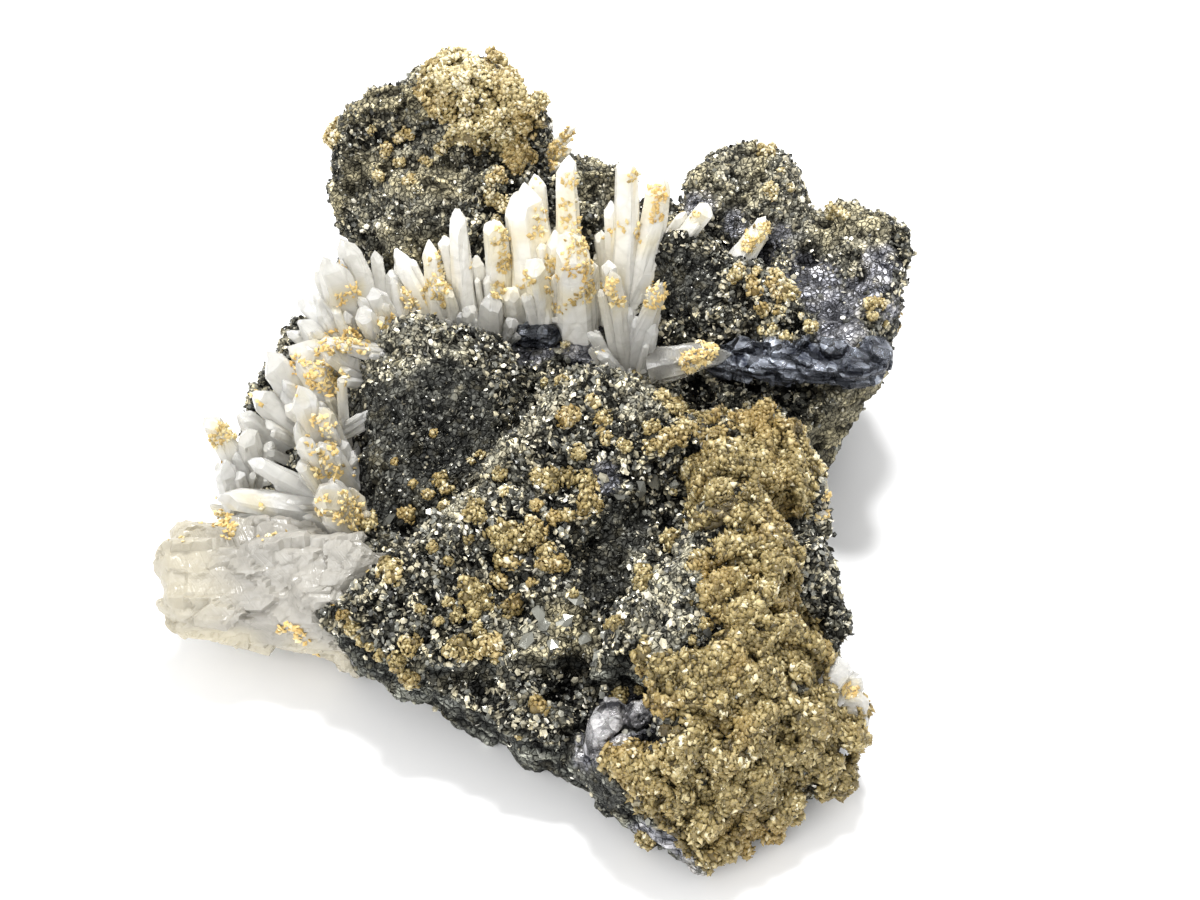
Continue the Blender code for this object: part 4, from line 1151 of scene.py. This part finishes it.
def build_rock(look):
    """The rock's skin: the packed solid's, relaxed, then moved out by broad lumps and by crystal faces of
    several sizes. On the walls the crystals are drawn out into broken layers, on bare metal they are lower,
    the crest rises and the hollows fall back. Under a tan coat the rock takes the coat's knobs, a little
    lower. How far a point stands out from the evened skin is kept for painted shade in its pits and hollows
    and painted light where it stands out."""
    rock, points, normals = evened_skin("sulphide_base", "sulphide_rock", look.cell, 3)
    mesh = rock.data
    wall, fine, metal, pale, dusty, hollow, tan = rock_zones(points, relaxed(mesh, normals, 4))
    pale, dusty, hollow = relaxed(mesh, columns(pale, dusty, hollow), 3).T
    coat, sharp = relaxed(mesh, columns(tan, on_crest(points, normals)), 2).T
    calm = relaxed(mesh, metal[:, None], 3)[:, 0]
    lumps = 0.9 * soft_noise(points, 6.5, 1) + 0.5 * soft_noise(points, 3.1, 2) + facets(points, LUMP_FACETS)
    layers = points @ WALL_TURN * WALL_STRETCH
    druse = facets(points, *DRUSE_FACETS) * (1 - 0.6 * fine) * (1 - 0.8 * calm)
    broken = facets(layers, *WALL_FACETS) + 0.4 * soft_noise(layers, 1.4, 7)
    relief = 0.6 * lumps + (1 - wall) * druse + wall * broken
    relief = np.clip(relief - 0.25, *RELIEF_LIMITS) + CREST_RISE * sharp
    relief = relief * (1 - coat) + coat * (knobs_of_coat(points) - UNDER_COAT) - HOLLOW_DEPTH * hollow
    points = in_box(points + normals * relief[:, None])
    set_points(mesh, points)
    # How far each point stands out, less in the hollows: used for painted shade in pits and hollows and
    # painted light where it stands out.
    stands = ((points - relaxed(mesh, points, 14)) * normals).sum(-1)
    lie = np.clip(0.5 + 0.5 * stands - 0.25 * hollow, 0, 1)
    tan, fine, metal = relaxed(mesh, columns(tan, fine, metal), 1).T
    paint_points(rock, "zone", columns(wall, fine, metal))
    paint_points(rock, "lie", columns(lie, pale, dusty))
    paint_points(rock, "crust", columns(tan, lie, lie))
    finish_piece(rock, "sulphide", rock_material(look), "sulphide_base")


def rock_surface():
    """The finished rock's points and triangles, and at each point how far it is wall, fine, bare metal, pale,
    dusty and under a tan crust, how far it stands out, and its normal."""
    mesh = bpy.data.objects["sulphide_rock"].data
    zone, lie, crust = (
        read(mesh.color_attributes[name].data, "color", 4).astype(float) for name in ("zone", "lie", "crust")
    )
    names = ("wall", "fine", "metal", "pale", "dusty", "tan", "height")
    values = np.column_stack([zone[:, :3], lie[:, 1:3], crust[:, 0], lie[:, 0]])
    return points_of(mesh), triangles_of(mesh), dict(zip(names, values.T), way=normals_of(mesh))


def build_druse(look):
    """Thousands of pyrite flakes and grains on the rock, leaning together in patches, thick on the tops and
    sparse on the walls, on bare metal and under the crusts. Most are grey and some are bright: brassy pyrite
    and painted glints, near white at the brightest. More are bright on the crest, as a painted highlight on
    its lit top. With the flakes come the larger flat crystals of the table."""
    points, triangles, zone = rock_surface()
    draw = np.random.default_rng(11)
    upward = np.zeros(len(points))
    upward[triangles.ravel()] = np.repeat(unit(crossed_sides(points, triangles))[:, 2], 3)
    weight = (0.08 + (1 - zone["wall"]) ** 2) * (points[:, 2] > 4.0)
    weight = weight * (1 - 0.92 * zone["metal"]) * (1 - 0.6 * zone["dusty"])
    weight = weight * np.where(upward < -0.3, 0.05, 1.0)
    weight = weight * (1 - 0.9 * zone["tan"]) * (0.35 + 1.1 * zone["height"])
    # The brightest stops, near white, are painted glints.
    material = flake_material("pyrite_flakes", [
        (0.0, times(look.druse, 0.1)), (0.3, look.druse), (0.6, times(look.druse, 5.5)),
        (0.78, times(look.brass, 0.75)), (0.9, look.brass), (1.0, (0.97, 0.94, 0.84)),
    ], 0.35, 0.14)
    for name, count, size, thin, form, stand in (
        ("pyrite_flakes", look.flakes, look.flake_size, 0.2, FLAKE, 0.4),
        ("pyrite_grains", look.grains, look.grain_size, 0.8, CHIP, 0.15),
    ):
        places, normals, near = spread(points, triangles, weight, count, draw)
        fine, pale, dusty = (zone[key][near[:, 0]] for key in ("fine", "pale", "dusty"))
        crest = on_crest(places, normals)
        lean = noise_three(places, 11.0, 91)
        axes = unit(0.55 * normals + 0.7 * lean + 0.9 * unit(draw.normal(size=places.shape)))
        radius = size * (0.45 + 0.4 * draw.random(count) + 0.35 * draw.random(count) ** 12)
        radius = radius * (1 - 0.35 * fine - 0.35 * dusty)
        scales = columns(radius, radius * (0.6 + 0.3 * draw.random(count)), radius * thin)
        frames = frames_about(axes, draw.random(count) * math.tau)
        # Bright flakes: brassy pyrite and painted glints. The crest's extra share is a painted highlight.
        bright = draw.random(count) < 0.30 + 0.2 * pale - 0.22 * fine + 0.3 * crest - 0.2 * dusty
        shade = np.where(bright, 0.72 + 0.28 * draw.random(count), 0.12 + 0.54 * draw.random(count))
        values = columns(shade, draw.random(count), fine)
        body = copies(form, places + normals * (radius * stand)[:, None], frames, scales, values)
        if form is FLAKE:
            body = joined(body, flat_plates(points, triangles, draw))
        shaded_piece(name, body, "sulphide", material)


def flat_plates(points, triangles, draw):
    """The larger flat crystals: a thick flake of each plate's radius, leaning a little, on the seen place of
    the rock nearest to its pixel."""
    centre = points[triangles].mean(1)
    way = unit(crossed_sides(points, triangles))
    seen = seen_in_photo(centre, way)
    centre, way = centre[seen], way[seen]
    x, y, _ = photo_pixels(centre)
    table = np.array(PLATES)
    near = ((x[None] - table[:, :1]) ** 2 + (y[None] - table[:, 1:2]) ** 2).argmin(1)
    radius = table[:, 2] / PIXELS_PER_MM
    lean = np.array((0, 0, 0.4)) - 0.2 * camera_axes()[2] + 0.3 * draw.normal(size=(len(table), 3))
    axes = unit(0.7 * way[near] + lean)
    scales = columns(radius, 0.7 * radius, 0.3 * radius)
    turned = frames_about(axes, draw.random(len(table)) * 6)
    return copies(FLAKE, centre[near] + 0.2 * axes, turned, scales, columns(table[:, 3], 0.2, 0.0))


def tuft_places(look, draw):
    """Where separate tufts of carbonate stand, and how wide each may be: places on the rock under the circles
    of the table, and sparse patches on the sides that the photograph doesn't show."""
    points, triangles, _ = rock_surface()
    places, normals, _ = spread(points, triangles, np.ones(len(points)), TUFT_TRIES, draw)
    x, y, _ = photo_pixels(places)
    seen = seen_in_photo(places, normals)
    room = MM_OF_TUFT * widest_circle(x, y, TAN_TUFTS) * seen
    patches = soft_noise(places, 16.0, 41) + 0.35 * soft_noise(places, 5.0, 42) > 0.72
    hidden = ~seen & (places[:, 2] > 18) & (normals[:, 1] > 0.05) & (normals[:, 2] > -0.35) & patches
    room = np.where(hidden, look.tuft, room)
    places, normals, room = places[room > 0], normals[room > 0], room[room > 0]
    kept = one_per_cell(places, TUFTS_APART)
    return places[kept], normals[kept], np.clip(room[kept], 0.9, look.tuft)


def backward(places):
    """0 at the front of the specimen and 1 at its back."""
    return ramp(places[:, 1], *FRONT_TO_BACK)


def crust_tone(places, height):
    """The shade of a crust: olive brown in front and paler towards the back, with painted light where it
    stands out and painted shade where it lies low.
    """
    far = backward(places)
    return 0.33 + 0.36 * far + (0.55 - 0.25 * far) * (height - 0.5) + 0.12 * soft_noise(places, 8.0, 44)


def crystals_at(look, places, normals, tone, crease_shade, size, draw):
    """Carbonate crystals: small pointed plates that lie aslant on the surface like scales, with their
    shades and the painted shade of the creases they stand in."""
    count = len(places)
    axes = unit(normals + 0.8 * unit(draw.normal(size=places.shape)))
    half = look.crystal * size * (0.5 + 0.45 * draw.random(count) + 0.3 * draw.random(count) ** 8)
    scales = columns(half, half * (0.55 + 0.3 * draw.random(count)), half * 0.42)
    frames = frames_about(axes, draw.random(count) * math.tau)
    own = tone + 0.17 * draw.normal(size=count) + 0.3 * (draw.random(count) > 0.9)
    values = columns(np.clip(own, 0, 1), draw.random(count), np.clip(crease_shade, 0, 1))
    return copies(PLATE, places + normals * (0.3 * half)[:, None], frames, scales, values)


def tufts(look, places, normals, room, draw):
    """Round tufts: a core ball at each place, and crystals on its upper side. The core is darker, as painted
    shade inside the tuft, and the crystals that point up are lighter, as painted top light.
    """
    count, each = len(places), look.crystals
    radius = room * (0.55 + 0.45 * draw.random(count))
    core = places + normals * (0.1 * radius)[:, None]
    frames = frames_about(normals, draw.random(count) * math.tau)
    # Tufts count as standing out, so their tone takes the painted light of crust_tone.
    tone = crust_tone(places, 0.82) + 0.08 * draw.normal(size=count)
    # A darker core with crease shade: painted shade inside the tuft.
    values = np.clip(columns(0.6 * tone, 1.0, 0.3), 0, 1)
    cores = copies(BALL, core, frames, (0.75 * radius)[:, None], values)
    out = unit(draw.normal(size=(count, each, 3)))
    facing = (out * normals[:, None]).sum(-1, keepdims=True)
    out = unit(out - 2 * np.minimum(facing + 0.1, 0) * normals[:, None])
    where = core[:, None] + out * (radius[:, None] * (0.72 + 0.2 * draw.random((count, each))))[..., None]
    rise = (out * normals[:, None]).sum(-1)
    # Crystals that point up are lighter: painted top light.
    own = (tone[:, None] + 0.22 * (rise - 0.5)).ravel()
    size = np.repeat(0.6 + 0.4 * radius / look.tuft, each)
    return joined(cores, crystals_at(look, where.reshape(-1, 3), out.reshape(-1, 3), own, 0.0, size, draw))


def crust_body(look, node, others):
    """A coat's own body: the packed solid's skin, relaxed, then raised into round knobs, and sunk where the
    photograph shows bare rock. Gives its points, triangles and shades, each point's share of crystals, none
    where it is sunk or the others hide it, and how far it stands out."""
    body, points, normals = evened_skin(node, node + "_body", look.cell, 2)
    x, y, _ = photo_pixels(points)
    bare = seen_in_photo(points, normals) & ~in_crust(x, y, TAN_TUFTS)
    sunk = relaxed(body.data, bare[:, None], 2)[:, 0]
    raised = points + normals * (knobs_of_coat(points) - BARE_DEPTH * sunk)[:, None]
    stands = ((raised - relaxed(body.data, raised, 6)) * normals).sum(-1)
    set_points(body.data, raised)
    height = np.clip(0.5 + 0.9 * stands, 0, 1)
    clear = uncovered(raised, normals_of(body.data), others, 0.7) * (1 - ramp(sunk, 0.2, 0.6))
    triangles = triangles_of(body.data)
    bpy.data.objects.remove(body)
    # Lighter where the coat stands out and with crease shade where it lies low: painted light and shade.
    values = np.clip(columns(0.7 * crust_tone(raised, height), 1.0, 0.9 - 0.7 * height), 0, 1)
    return raised, triangles, values, clear, height


def scatter(look, points, triangles, share, height, draw):
    """Crystals over a surface, as many on each square millimetre as the setting says, times each point's
    share."""
    area = np.linalg.norm(crossed_sides(points, triangles), axis=1) / 2
    count = int(look.cover * (area * share[triangles].mean(1)).sum())
    places, normals, near = spread(points, triangles, share, count, draw)
    high = height[near[:, 0]]
    # Crease shade where the surface lies low, weaker towards the back: painted shade.
    crease_shade = (0.8 - 1.7 * high) * (1 - 0.6 * backward(places))
    return crystals_at(look, places, normals, crust_tone(places, high), crease_shade, 1.0, draw)


def build_carbonate(look):
    """The crusts. A coat is its own knobbly body with its crystals. A patch is the separate tufts near its
    packed solid. One more piece has the other tufts and the thin crust on the rock round the coats."""
    draw = np.random.default_rng(23)
    material = carbonate_material("carbonate", look.tan, look.cream)
    rock, rock_triangles, zone = rock_surface()
    bodies = []
    for name in COATS:
        points, triangles, values, clear, height = crust_body(look, name, rock)
        bodies.append(points[clear > 0])
        crystals = scatter(look, points, triangles, clear, height, draw)
        body = joined((points, triangles, values), crystals)
        shaded_piece(name + "_crystals", body, "carbonate", material, name, smooth=True)
    patches = sorted(name for name in frame["nodes"] if name.startswith("carbonate") and name not in COATS)
    places, normals, room = tuft_places(look, draw)
    reach = np.stack([
        np.sqrt(((places[:, None] - points_of(frame["nodes"][name].data)[None, ::2]) ** 2).sum(-1)).min(1)
        for name in patches
    ])
    owner = np.where(reach.min(0) < PATCH_REACH, reach.argmin(0), len(patches))
    for number, name in enumerate(patches):
        mine = owner == number
        if not mine.any():
            raise RuntimeError(f"{name} got no tufts")
        body = tufts(look, places[mine], normals[mine], room[mine], draw)
        shaded_piece(name + "_crystals", body, "carbonate", material, name, smooth=True)
    mine = owner == len(patches)
    body = tufts(look, places[mine], normals[mine], room[mine], draw)
    bare = zone["tan"] * uncovered(rock, zone["way"], np.vstack(bodies), 0.5)
    thin = scatter(look, rock, rock_triangles, bare, zone["height"], draw)
    shaded_piece("carbonate_tufts", joined(body, thin), "carbonate", material, smooth=True)


def crystal_surface(foot, tip, radius, point, draw, around, levels):
    """One quartz crystal on a grid of rings. Its section is a hexagon with unequal sides. The prism tapers,
    each side steps back a little at a height of its own, and it bends a little: aside by the square of the
    way up. The point is where six planes that lean by like slopes, each at its own height, cut it: its height
    is the lowest of them. Facets chip the sides and soft noise roughens the whole. Gives the points, the
    faces and how far along the crystal each point is."""
    axis = unit(tip - foot)
    length = np.linalg.norm(tip - foot)
    frame_of = frames_about(axis[None], np.array([draw.random() * math.tau]))[0]
    angle = np.arange(around) * math.tau / around
    sides = np.arange(6) * math.pi / 3
    reach = 1 + 0.12 * draw.normal(size=6).clip(-1.5, 1.5)
    toward = np.cos(angle[:, None] - sides[None])
    slope = point * (1 + 0.2 * draw.normal(size=6).clip(-1.5, 1.5))
    lower = np.where(np.arange(6) % 2 == 0, 0.0, 0.3) * point * (0.4 + 1.4 * draw.random(6))
    lower[0] += 0.45 * point * draw.random()
    step_at, step_by = 0.15 + 0.75 * draw.random(6), 0.10 * draw.random(6)

    def section(share):
        """How far the hexagon reaches in each direction at a share of the way up."""
        width = FOOT_WIDTH + (TOP_WIDTH - FOOT_WIDTH) * share
        side = reach * width - step_by * (share > step_at)
        out = np.where(toward > 0.05, side[None] / np.maximum(toward, 0.05), np.inf).min(1)
        return np.minimum(out, 1.2 * width)

    def height(across):
        """The point's height over the middle of its base, in radii, at places across the section."""
        lean = across @ np.stack([np.cos(sides), np.sin(sides)])
        return (slope - lower - slope * lean / TOP_WIDTH).min(-1)

    flat = np.stack([np.cos(angle), np.sin(angle)], -1)
    rim = flat * section(1.0)[:, None]
    apex = height(np.zeros((1, 2)))[0]
    sink = FOOT_SINK / radius
    tall = length / radius - apex
    edge = tall + height(rim)
    rings, along = [], []
    for share in np.linspace(0, 1, levels):
        rings.append(np.column_stack([flat * section(share)[:, None], -sink + (edge + sink) * share]))
        along.append(np.full(around, share * 0.85))
    for share in (0.66, 0.33):
        rings.append(np.column_stack([rim * share, tall + height(rim * share)]))
        along.append(np.full(around, 1 - 0.15 * share))
    points = np.vstack(rings + [[(0, 0, tall + apex)], [(0, 0, -sink)]]) * radius
    shift = 40 * draw.random(3)
    chips = facets(points * (1, 1, 0.3) + shift, (0.9 * radius, 0.07 * radius, 0.12, 72))
    points[:, :2] *= 1 + (chips / radius)[:, None]
    bend = 0.05 * length * draw.normal(size=2).clip(-1.2, 1.2)
    up = np.clip(points[:, 2] / length, 0, 1)
    points[:, :2] += bend * (up * up - up)[:, None]
    k = np.arange(around)
    after = (k + 1) % around
    faces = []
    for low in range(0, around * (len(rings) - 1), around):
        high = low + around
        faces.append(np.stack([low + k, low + after, high + after], -1))
        faces.append(np.stack([low + k, high + after, high + k], -1))
    top = around * len(rings)
    faces.append(np.stack([top - around + k, top - around + after, np.full(around, top)], -1))
    faces.append(np.stack([after, k, np.full(around, top + 1)], -1))
    place = foot + points @ frame_of
    place += 0.045 * min(radius, 3.0) * noise_three(place, 2.2, 71)
    return place, np.vstack(faces), np.concatenate(along + [[1.0], [0.0]]) * length


def spray_rows(rows, look, draw):
    """A spray's large crystals, the slimmer ones that grew along each of them, and small ones that lean out
    from round their feet."""
    out = list(rows)
    for foot, tip, radius in rows:
        foot, tip = np.array(foot, float), np.array(tip, float)
        side, other, axis = frames_about(unit(tip - foot)[None], np.array([draw.random() * math.tau]))[0]
        for turn in (0.0, 2.4):
            aside = (math.cos(turn) * side + math.sin(turn) * other) * radius
            share = 0.4 + 0.5 * draw.random()
            start = foot + (0.55 + 0.2 * draw.random()) * aside
            end = foot + (tip - foot) * share + (0.8 + 0.7 * draw.random()) * aside
            out.append((start, end, radius * (0.42 + 0.25 * draw.random())))
        for _ in range(look.young):
            angle = draw.random() * math.tau
            aside = np.array((math.cos(angle), math.sin(angle), 0)) * radius * (0.8 + 0.6 * draw.random())
            lean = unit(axis + 0.5 * unit(aside) + 0.25 * draw.normal(size=3))
            size = (2.5 + 4.5 * draw.random()) * min(1.0, radius / 2.5)
            out.append((foot + aside, foot + aside + lean * size, radius * (0.28 + 0.2 * draw.random())))
    return out


def build_quartz(look):
    """Each spray of quartz as one piece, in place of its packed solid, milkier or clearer by its table's
    number."""
    draw = np.random.default_rng(5)
    middle = [0.5 * (a + b) for a, b in zip(look.foot, look.point)]
    kinds = [
        (0.25, quartz_material(look, "milky_quartz", 0.12, middle, look.point)),
        (0.75, quartz_material(look, "cloudy_quartz", 0.5, look.foot, (0.95, 0.96, 0.96))),
        (1.0, quartz_material(look, "clear_quartz", 0.8, look.foot, (0.93, 0.95, 0.95))),
    ]
    for name, (point, clearness, rows) in QUARTZ.items():
        if not rows:
            build_quartz_block(look, name)
            continue
        crystals = []
        grown = rows if name in LONE else spray_rows(rows, look, draw)
        for number, (foot, tip, radius) in enumerate(grown):
            size = (24, 10) if number < len(rows) else (12, 3)
            pointed = point * (0.6 + 0.5 * draw.random())
            points, faces, along = crystal_surface(
                np.array(foot, float), np.array(tip, float), radius, pointed, draw, *size
            )
            share = along / along.max()
            own = draw.random()
            x, y, _ = photo_pixels(points)
            golden = in_circles(x, y, TAN_ON_QUARTZ, 1.5, 4.0) * ramp(soft_noise(points, 3.0, 53), -0.6, 0.4)
            shade = columns(ramp(share, 0.05, 0.7 + 0.4 * clearness), own, 0.10 + 0.15 * own + 0.5 * golden)
            crystals.append((points, faces, np.hstack([shade, columns(along / 10 + own * 7, share, share)])))
        points, faces, values = joined(*crystals)
        material = next(kind for limit, kind in kinds if clearness <= limit)
        body = (in_box(points), faces, values[:, :3])
        paint_points(shaded_piece(name + "_crystals", body, "quartz", material, name), "along", values[:, 3:])


def build_quartz_block(look, name):
    """The massive block: the packed solid's skin, relaxed, then broken into long flat chips and small steps.
    Its outer end and its underside are stained."""
    material = quartz_material(look, "massive_quartz", 0.3, times(look.block, 0.85), times(look.block, 1.4))
    piece, points, normals = evened_skin(name, name + "_crystals", look.block_cell, 4)
    chips = facets(points * BLOCK_STRETCH, *BLOCK_FACETS) + 0.5 * soft_noise(points, 9.0, 83)
    points = in_box(points + normals * np.clip(chips - 0.3, -2.4, 1.2)[:, None])
    set_points(piece.data, points)
    outer = 1 - ramp(points[:, 0] + 4 * soft_noise(points, 8.0, 84), -66, -52)
    under = 1 - ramp(points[:, 2] + 3 * soft_noise(points, 6.0, 85), 9, 16)
    stain = np.clip(0.05 + 0.3 * outer + 0.35 * under, 0, 1)
    paint_points(piece, "shade", columns(ramp(points[:, 0], -64, -40), 1.0, stain))
    paint_points(piece, "along", columns(points @ np.array((0.06, 0.0, 0.08)), 1.0, 1.0))
    finish_piece(piece, "quartz", material, name)


def build_quartz_dust(look):
    """Small golden scales that lie on the quartz where the photograph shows them, thickest on its right
    sides."""
    draw = np.random.default_rng(31)
    places, normals = [], []
    for name in QUARTZ:
        mesh = bpy.data.objects[name + "_crystals"].data
        found = spread(points_of(mesh), triangles_of(mesh), np.ones(len(mesh.vertices)), SCALE_TRIES, draw)
        places.append(found[0])
        normals.append(found[1])
    places, normals = np.vstack(places), np.vstack(normals)
    x, y, _ = photo_pixels(places)
    patchy = soft_noise(places, 2.6, 52) > -0.25 - 0.5 * normals[:, 0]
    tan = in_circles(x, y, TAN_ON_QUARTZ, 1.25) & seen_in_photo(places, normals) & patchy
    tan |= (soft_noise(places, 7.0, 51) > 0.6) & (draw.random(len(places)) < 0.05)
    places, normals = places[tan], normals[tan]
    kept = one_per_cell(places + 0.3 * draw.random(places.shape), 0.7)
    places, normals = places[kept], normals[kept]
    tone = 0.62 + 0.2 * soft_noise(places, 2.0, 54)
    body = crystals_at(look, places, normals, tone, 0.0, 0.85, draw)
    material = carbonate_material("golden_carbonate", look.gold, (0.86, 0.70, 0.36))
    shaded_piece("carbonate_on_quartz", body, "carbonate", material)


def build_sphalerite(look):
    """The bare sphalerite: rounded silvery crystals with fine steps and a seam between them, and ledges of
    thin broken layers."""
    # The brightest stop of each list is painted highlight on thin layers.
    silver = [
        (0.36, (0.03, 0.03, 0.034)), (0.46, look.silver), (0.58, times(look.silver, 1.7)),
        (0.7, (0.8, 0.79, 0.81)),
    ]
    steel = [
        (0.38, (0.006, 0.007, 0.011)), (0.5, look.steel), (0.6, times(look.steel, 2.2)),
        (0.7, (0.42, 0.44, 0.5)),
    ]
    for name, streak, layer, calm, stops, lift, seam in (
        ("sphalerite_pair", (1.0, 2.5, 1.0), 0.0, 4, silver, 1.2, SEAM_DEPTH),
        ("sphalerite_ledge", (0.7, 1.0, 5.0), 1.0, 2, steel, 2.2, 0.0),
        ("sphalerite_trench", (1.0, 1.0, 2.0), 0.4, 2, steel, 2.0, 0.0),
    ):
        piece, points, normals = evened_skin(name, name + "_surface", look.cell, calm)
        leaves = points * (0.3, 0.3, 1.0)
        steps = facets(leaves, LEAF_FACETS) + 0.5 * soft_noise(leaves, 1.0, 62)
        steps = steps + 0.5 * soft_noise(points, 4.0, 65)
        faces = facets(points, FACE_FACETS) + 0.1 * soft_noise(points, 1.2, 64)
        cleft = seam * np.exp(-(((points[:, 0] - PAIR_SEAM) / SEAM_WIDTH) ** 2))
        relief = layer * steps + (1 - layer) * faces + 0.25 - cleft
        set_points(piece.data, points + normals * relief[:, None])
        finish_piece(piece, "sphalerite", metal_material(name + "_metal", stops, streak, lift), name)


def build_stage(look):
    """A pale floor, even light, a large main light, one from the front, and the photograph's camera."""
    corners = FLOOR_SIDE * np.array([(-1, -1, 0), (1, -1, 0), (1, 1, 0), (-1, 1, 0)], float)
    floor = mesh_piece("studio_floor", corners, np.array([(0, 1, 2, 3)]))
    floor.data.materials.append(floor_material(look))
    scene = bpy.context.scene
    scene.world = bpy.data.worlds.new("studio")
    scene.world.use_nodes = True
    background = scene.world.node_tree.nodes["Background"]
    background.inputs["Color"].default_value = (1.0, 1.0, 1.0, 1.0)
    background.inputs["Strength"].default_value = look.sky
    for name, place, power, size in (
        ("key_light", (0.03, 0.2, 0.76), look.key, 0.14),
        ("fill_light", (-0.35, -0.6, 0.5), look.fill, 0.5),
    ):
        light = bpy.data.lights.new(name, "AREA")
        light.energy = power
        light.size = size
        lamp = placed(name, light)
        lamp.location = place
        lamp.rotation_euler = (Vector(CAMERA_AIM * MM) - Vector(place)).to_track_quat("-Z", "Y").to_euler()
    scene.view_settings.view_transform = "Standard"
    camera = placed("camera", bpy.data.cameras.new("camera"))
    camera.data.lens = LENS_MM
    camera.data.sensor_width = SENSOR_MM
    camera.data.clip_start = 0.01
    camera.location = Vector(camera_axes()[3] * MM)
    camera.rotation_euler = (math.pi / 2 - CAMERA_DOWN, 0, 0)
    scene.camera = camera


class SPECIMEN_OT_rock(bpy.types.Operator):
    """Build the sulphide rock's skin"""

    bl_idname = "specimen.rock"
    bl_label = "Sulphide rock"

    def execute(self, context):
        build_rock(context.scene.specimen_rock)
        return {"FINISHED"}


class SPECIMEN_OT_druse(bpy.types.Operator):
    """Build the pyrite flakes and grains on the rock"""

    bl_idname = "specimen.druse"
    bl_label = "Pyrite druse"

    def execute(self, context):
        build_druse(context.scene.specimen_rock)
        return {"FINISHED"}


class SPECIMEN_OT_quartz(bpy.types.Operator):
    """Build the quartz sprays"""

    bl_idname = "specimen.quartz"
    bl_label = "Quartz sprays"

    def execute(self, context):
        build_quartz(context.scene.specimen_quartz)
        return {"FINISHED"}


class SPECIMEN_OT_sphalerite(bpy.types.Operator):
    """Build the bare sphalerite"""

    bl_idname = "specimen.sphalerite"
    bl_label = "Sphalerite"

    def execute(self, context):
        build_sphalerite(context.scene.specimen_sphalerite)
        return {"FINISHED"}


class SPECIMEN_OT_carbonate(bpy.types.Operator):
    """Build the tan carbonate crusts and the crystals on the quartz"""

    bl_idname = "specimen.carbonate"
    bl_label = "Carbonate crusts"

    def execute(self, context):
        build_carbonate(context.scene.specimen_carbonate)
        build_quartz_dust(context.scene.specimen_carbonate)
        return {"FINISHED"}


class SPECIMEN_OT_stage(bpy.types.Operator):
    """Build the floor, the lights and the camera"""

    bl_idname = "specimen.stage"
    bl_label = "Stage"

    def execute(self, context):
        build_stage(context.scene.specimen_stage)
        return {"FINISHED"}


SETTINGS = {
    "specimen_rock": SpecimenRock,
    "specimen_quartz": SpecimenQuartz,
    "specimen_sphalerite": SpecimenSphalerite,
    "specimen_carbonate": SpecimenCarbonate,
    "specimen_stage": SpecimenStage,
}
OPERATORS = [
    SPECIMEN_OT_rock, SPECIMEN_OT_druse, SPECIMEN_OT_quartz, SPECIMEN_OT_sphalerite, SPECIMEN_OT_carbonate,
    SPECIMEN_OT_stage,
]


class SPECIMEN_PT_panel(bpy.types.Panel):
    """Lists the specimen's builders and their settings"""

    bl_idname = "SPECIMEN_PT_panel"
    bl_label = "Mineral specimen"
    bl_space_type = "VIEW_3D"
    bl_region_type = "UI"
    bl_category = "Specimen"

    def draw(self, context):
        for operator in OPERATORS:
            self.layout.operator(operator.bl_idname)
        for name, settings in SETTINGS.items():
            box = self.layout.box()
            box.label(text=settings.__doc__)
            for field in settings.__annotations__:
                box.prop(getattr(context.scene, name), field)


def register():
    for settings in SETTINGS.values():
        bpy.utils.register_class(settings)
    for operator in OPERATORS:
        bpy.utils.register_class(operator)
    bpy.utils.register_class(SPECIMEN_PT_panel)
    for name, settings in SETTINGS.items():
        setattr(bpy.types.Scene, name, bpy.props.PointerProperty(type=settings))


def unregister():
    for name in SETTINGS:
        delattr(bpy.types.Scene, name)
    bpy.utils.unregister_class(SPECIMEN_PT_panel)
    for operator in reversed(OPERATORS):
        bpy.utils.unregister_class(operator)
    for settings in reversed(list(SETTINGS.values())):
        bpy.utils.unregister_class(settings)


def main():
    register()
    bpy.ops.specimen.stage()
    bpy.ops.specimen.rock()
    bpy.ops.specimen.druse()
    bpy.ops.specimen.quartz()
    bpy.ops.specimen.sphalerite()
    bpy.ops.specimen.carbonate()


if __name__ == "__main__":
    main()
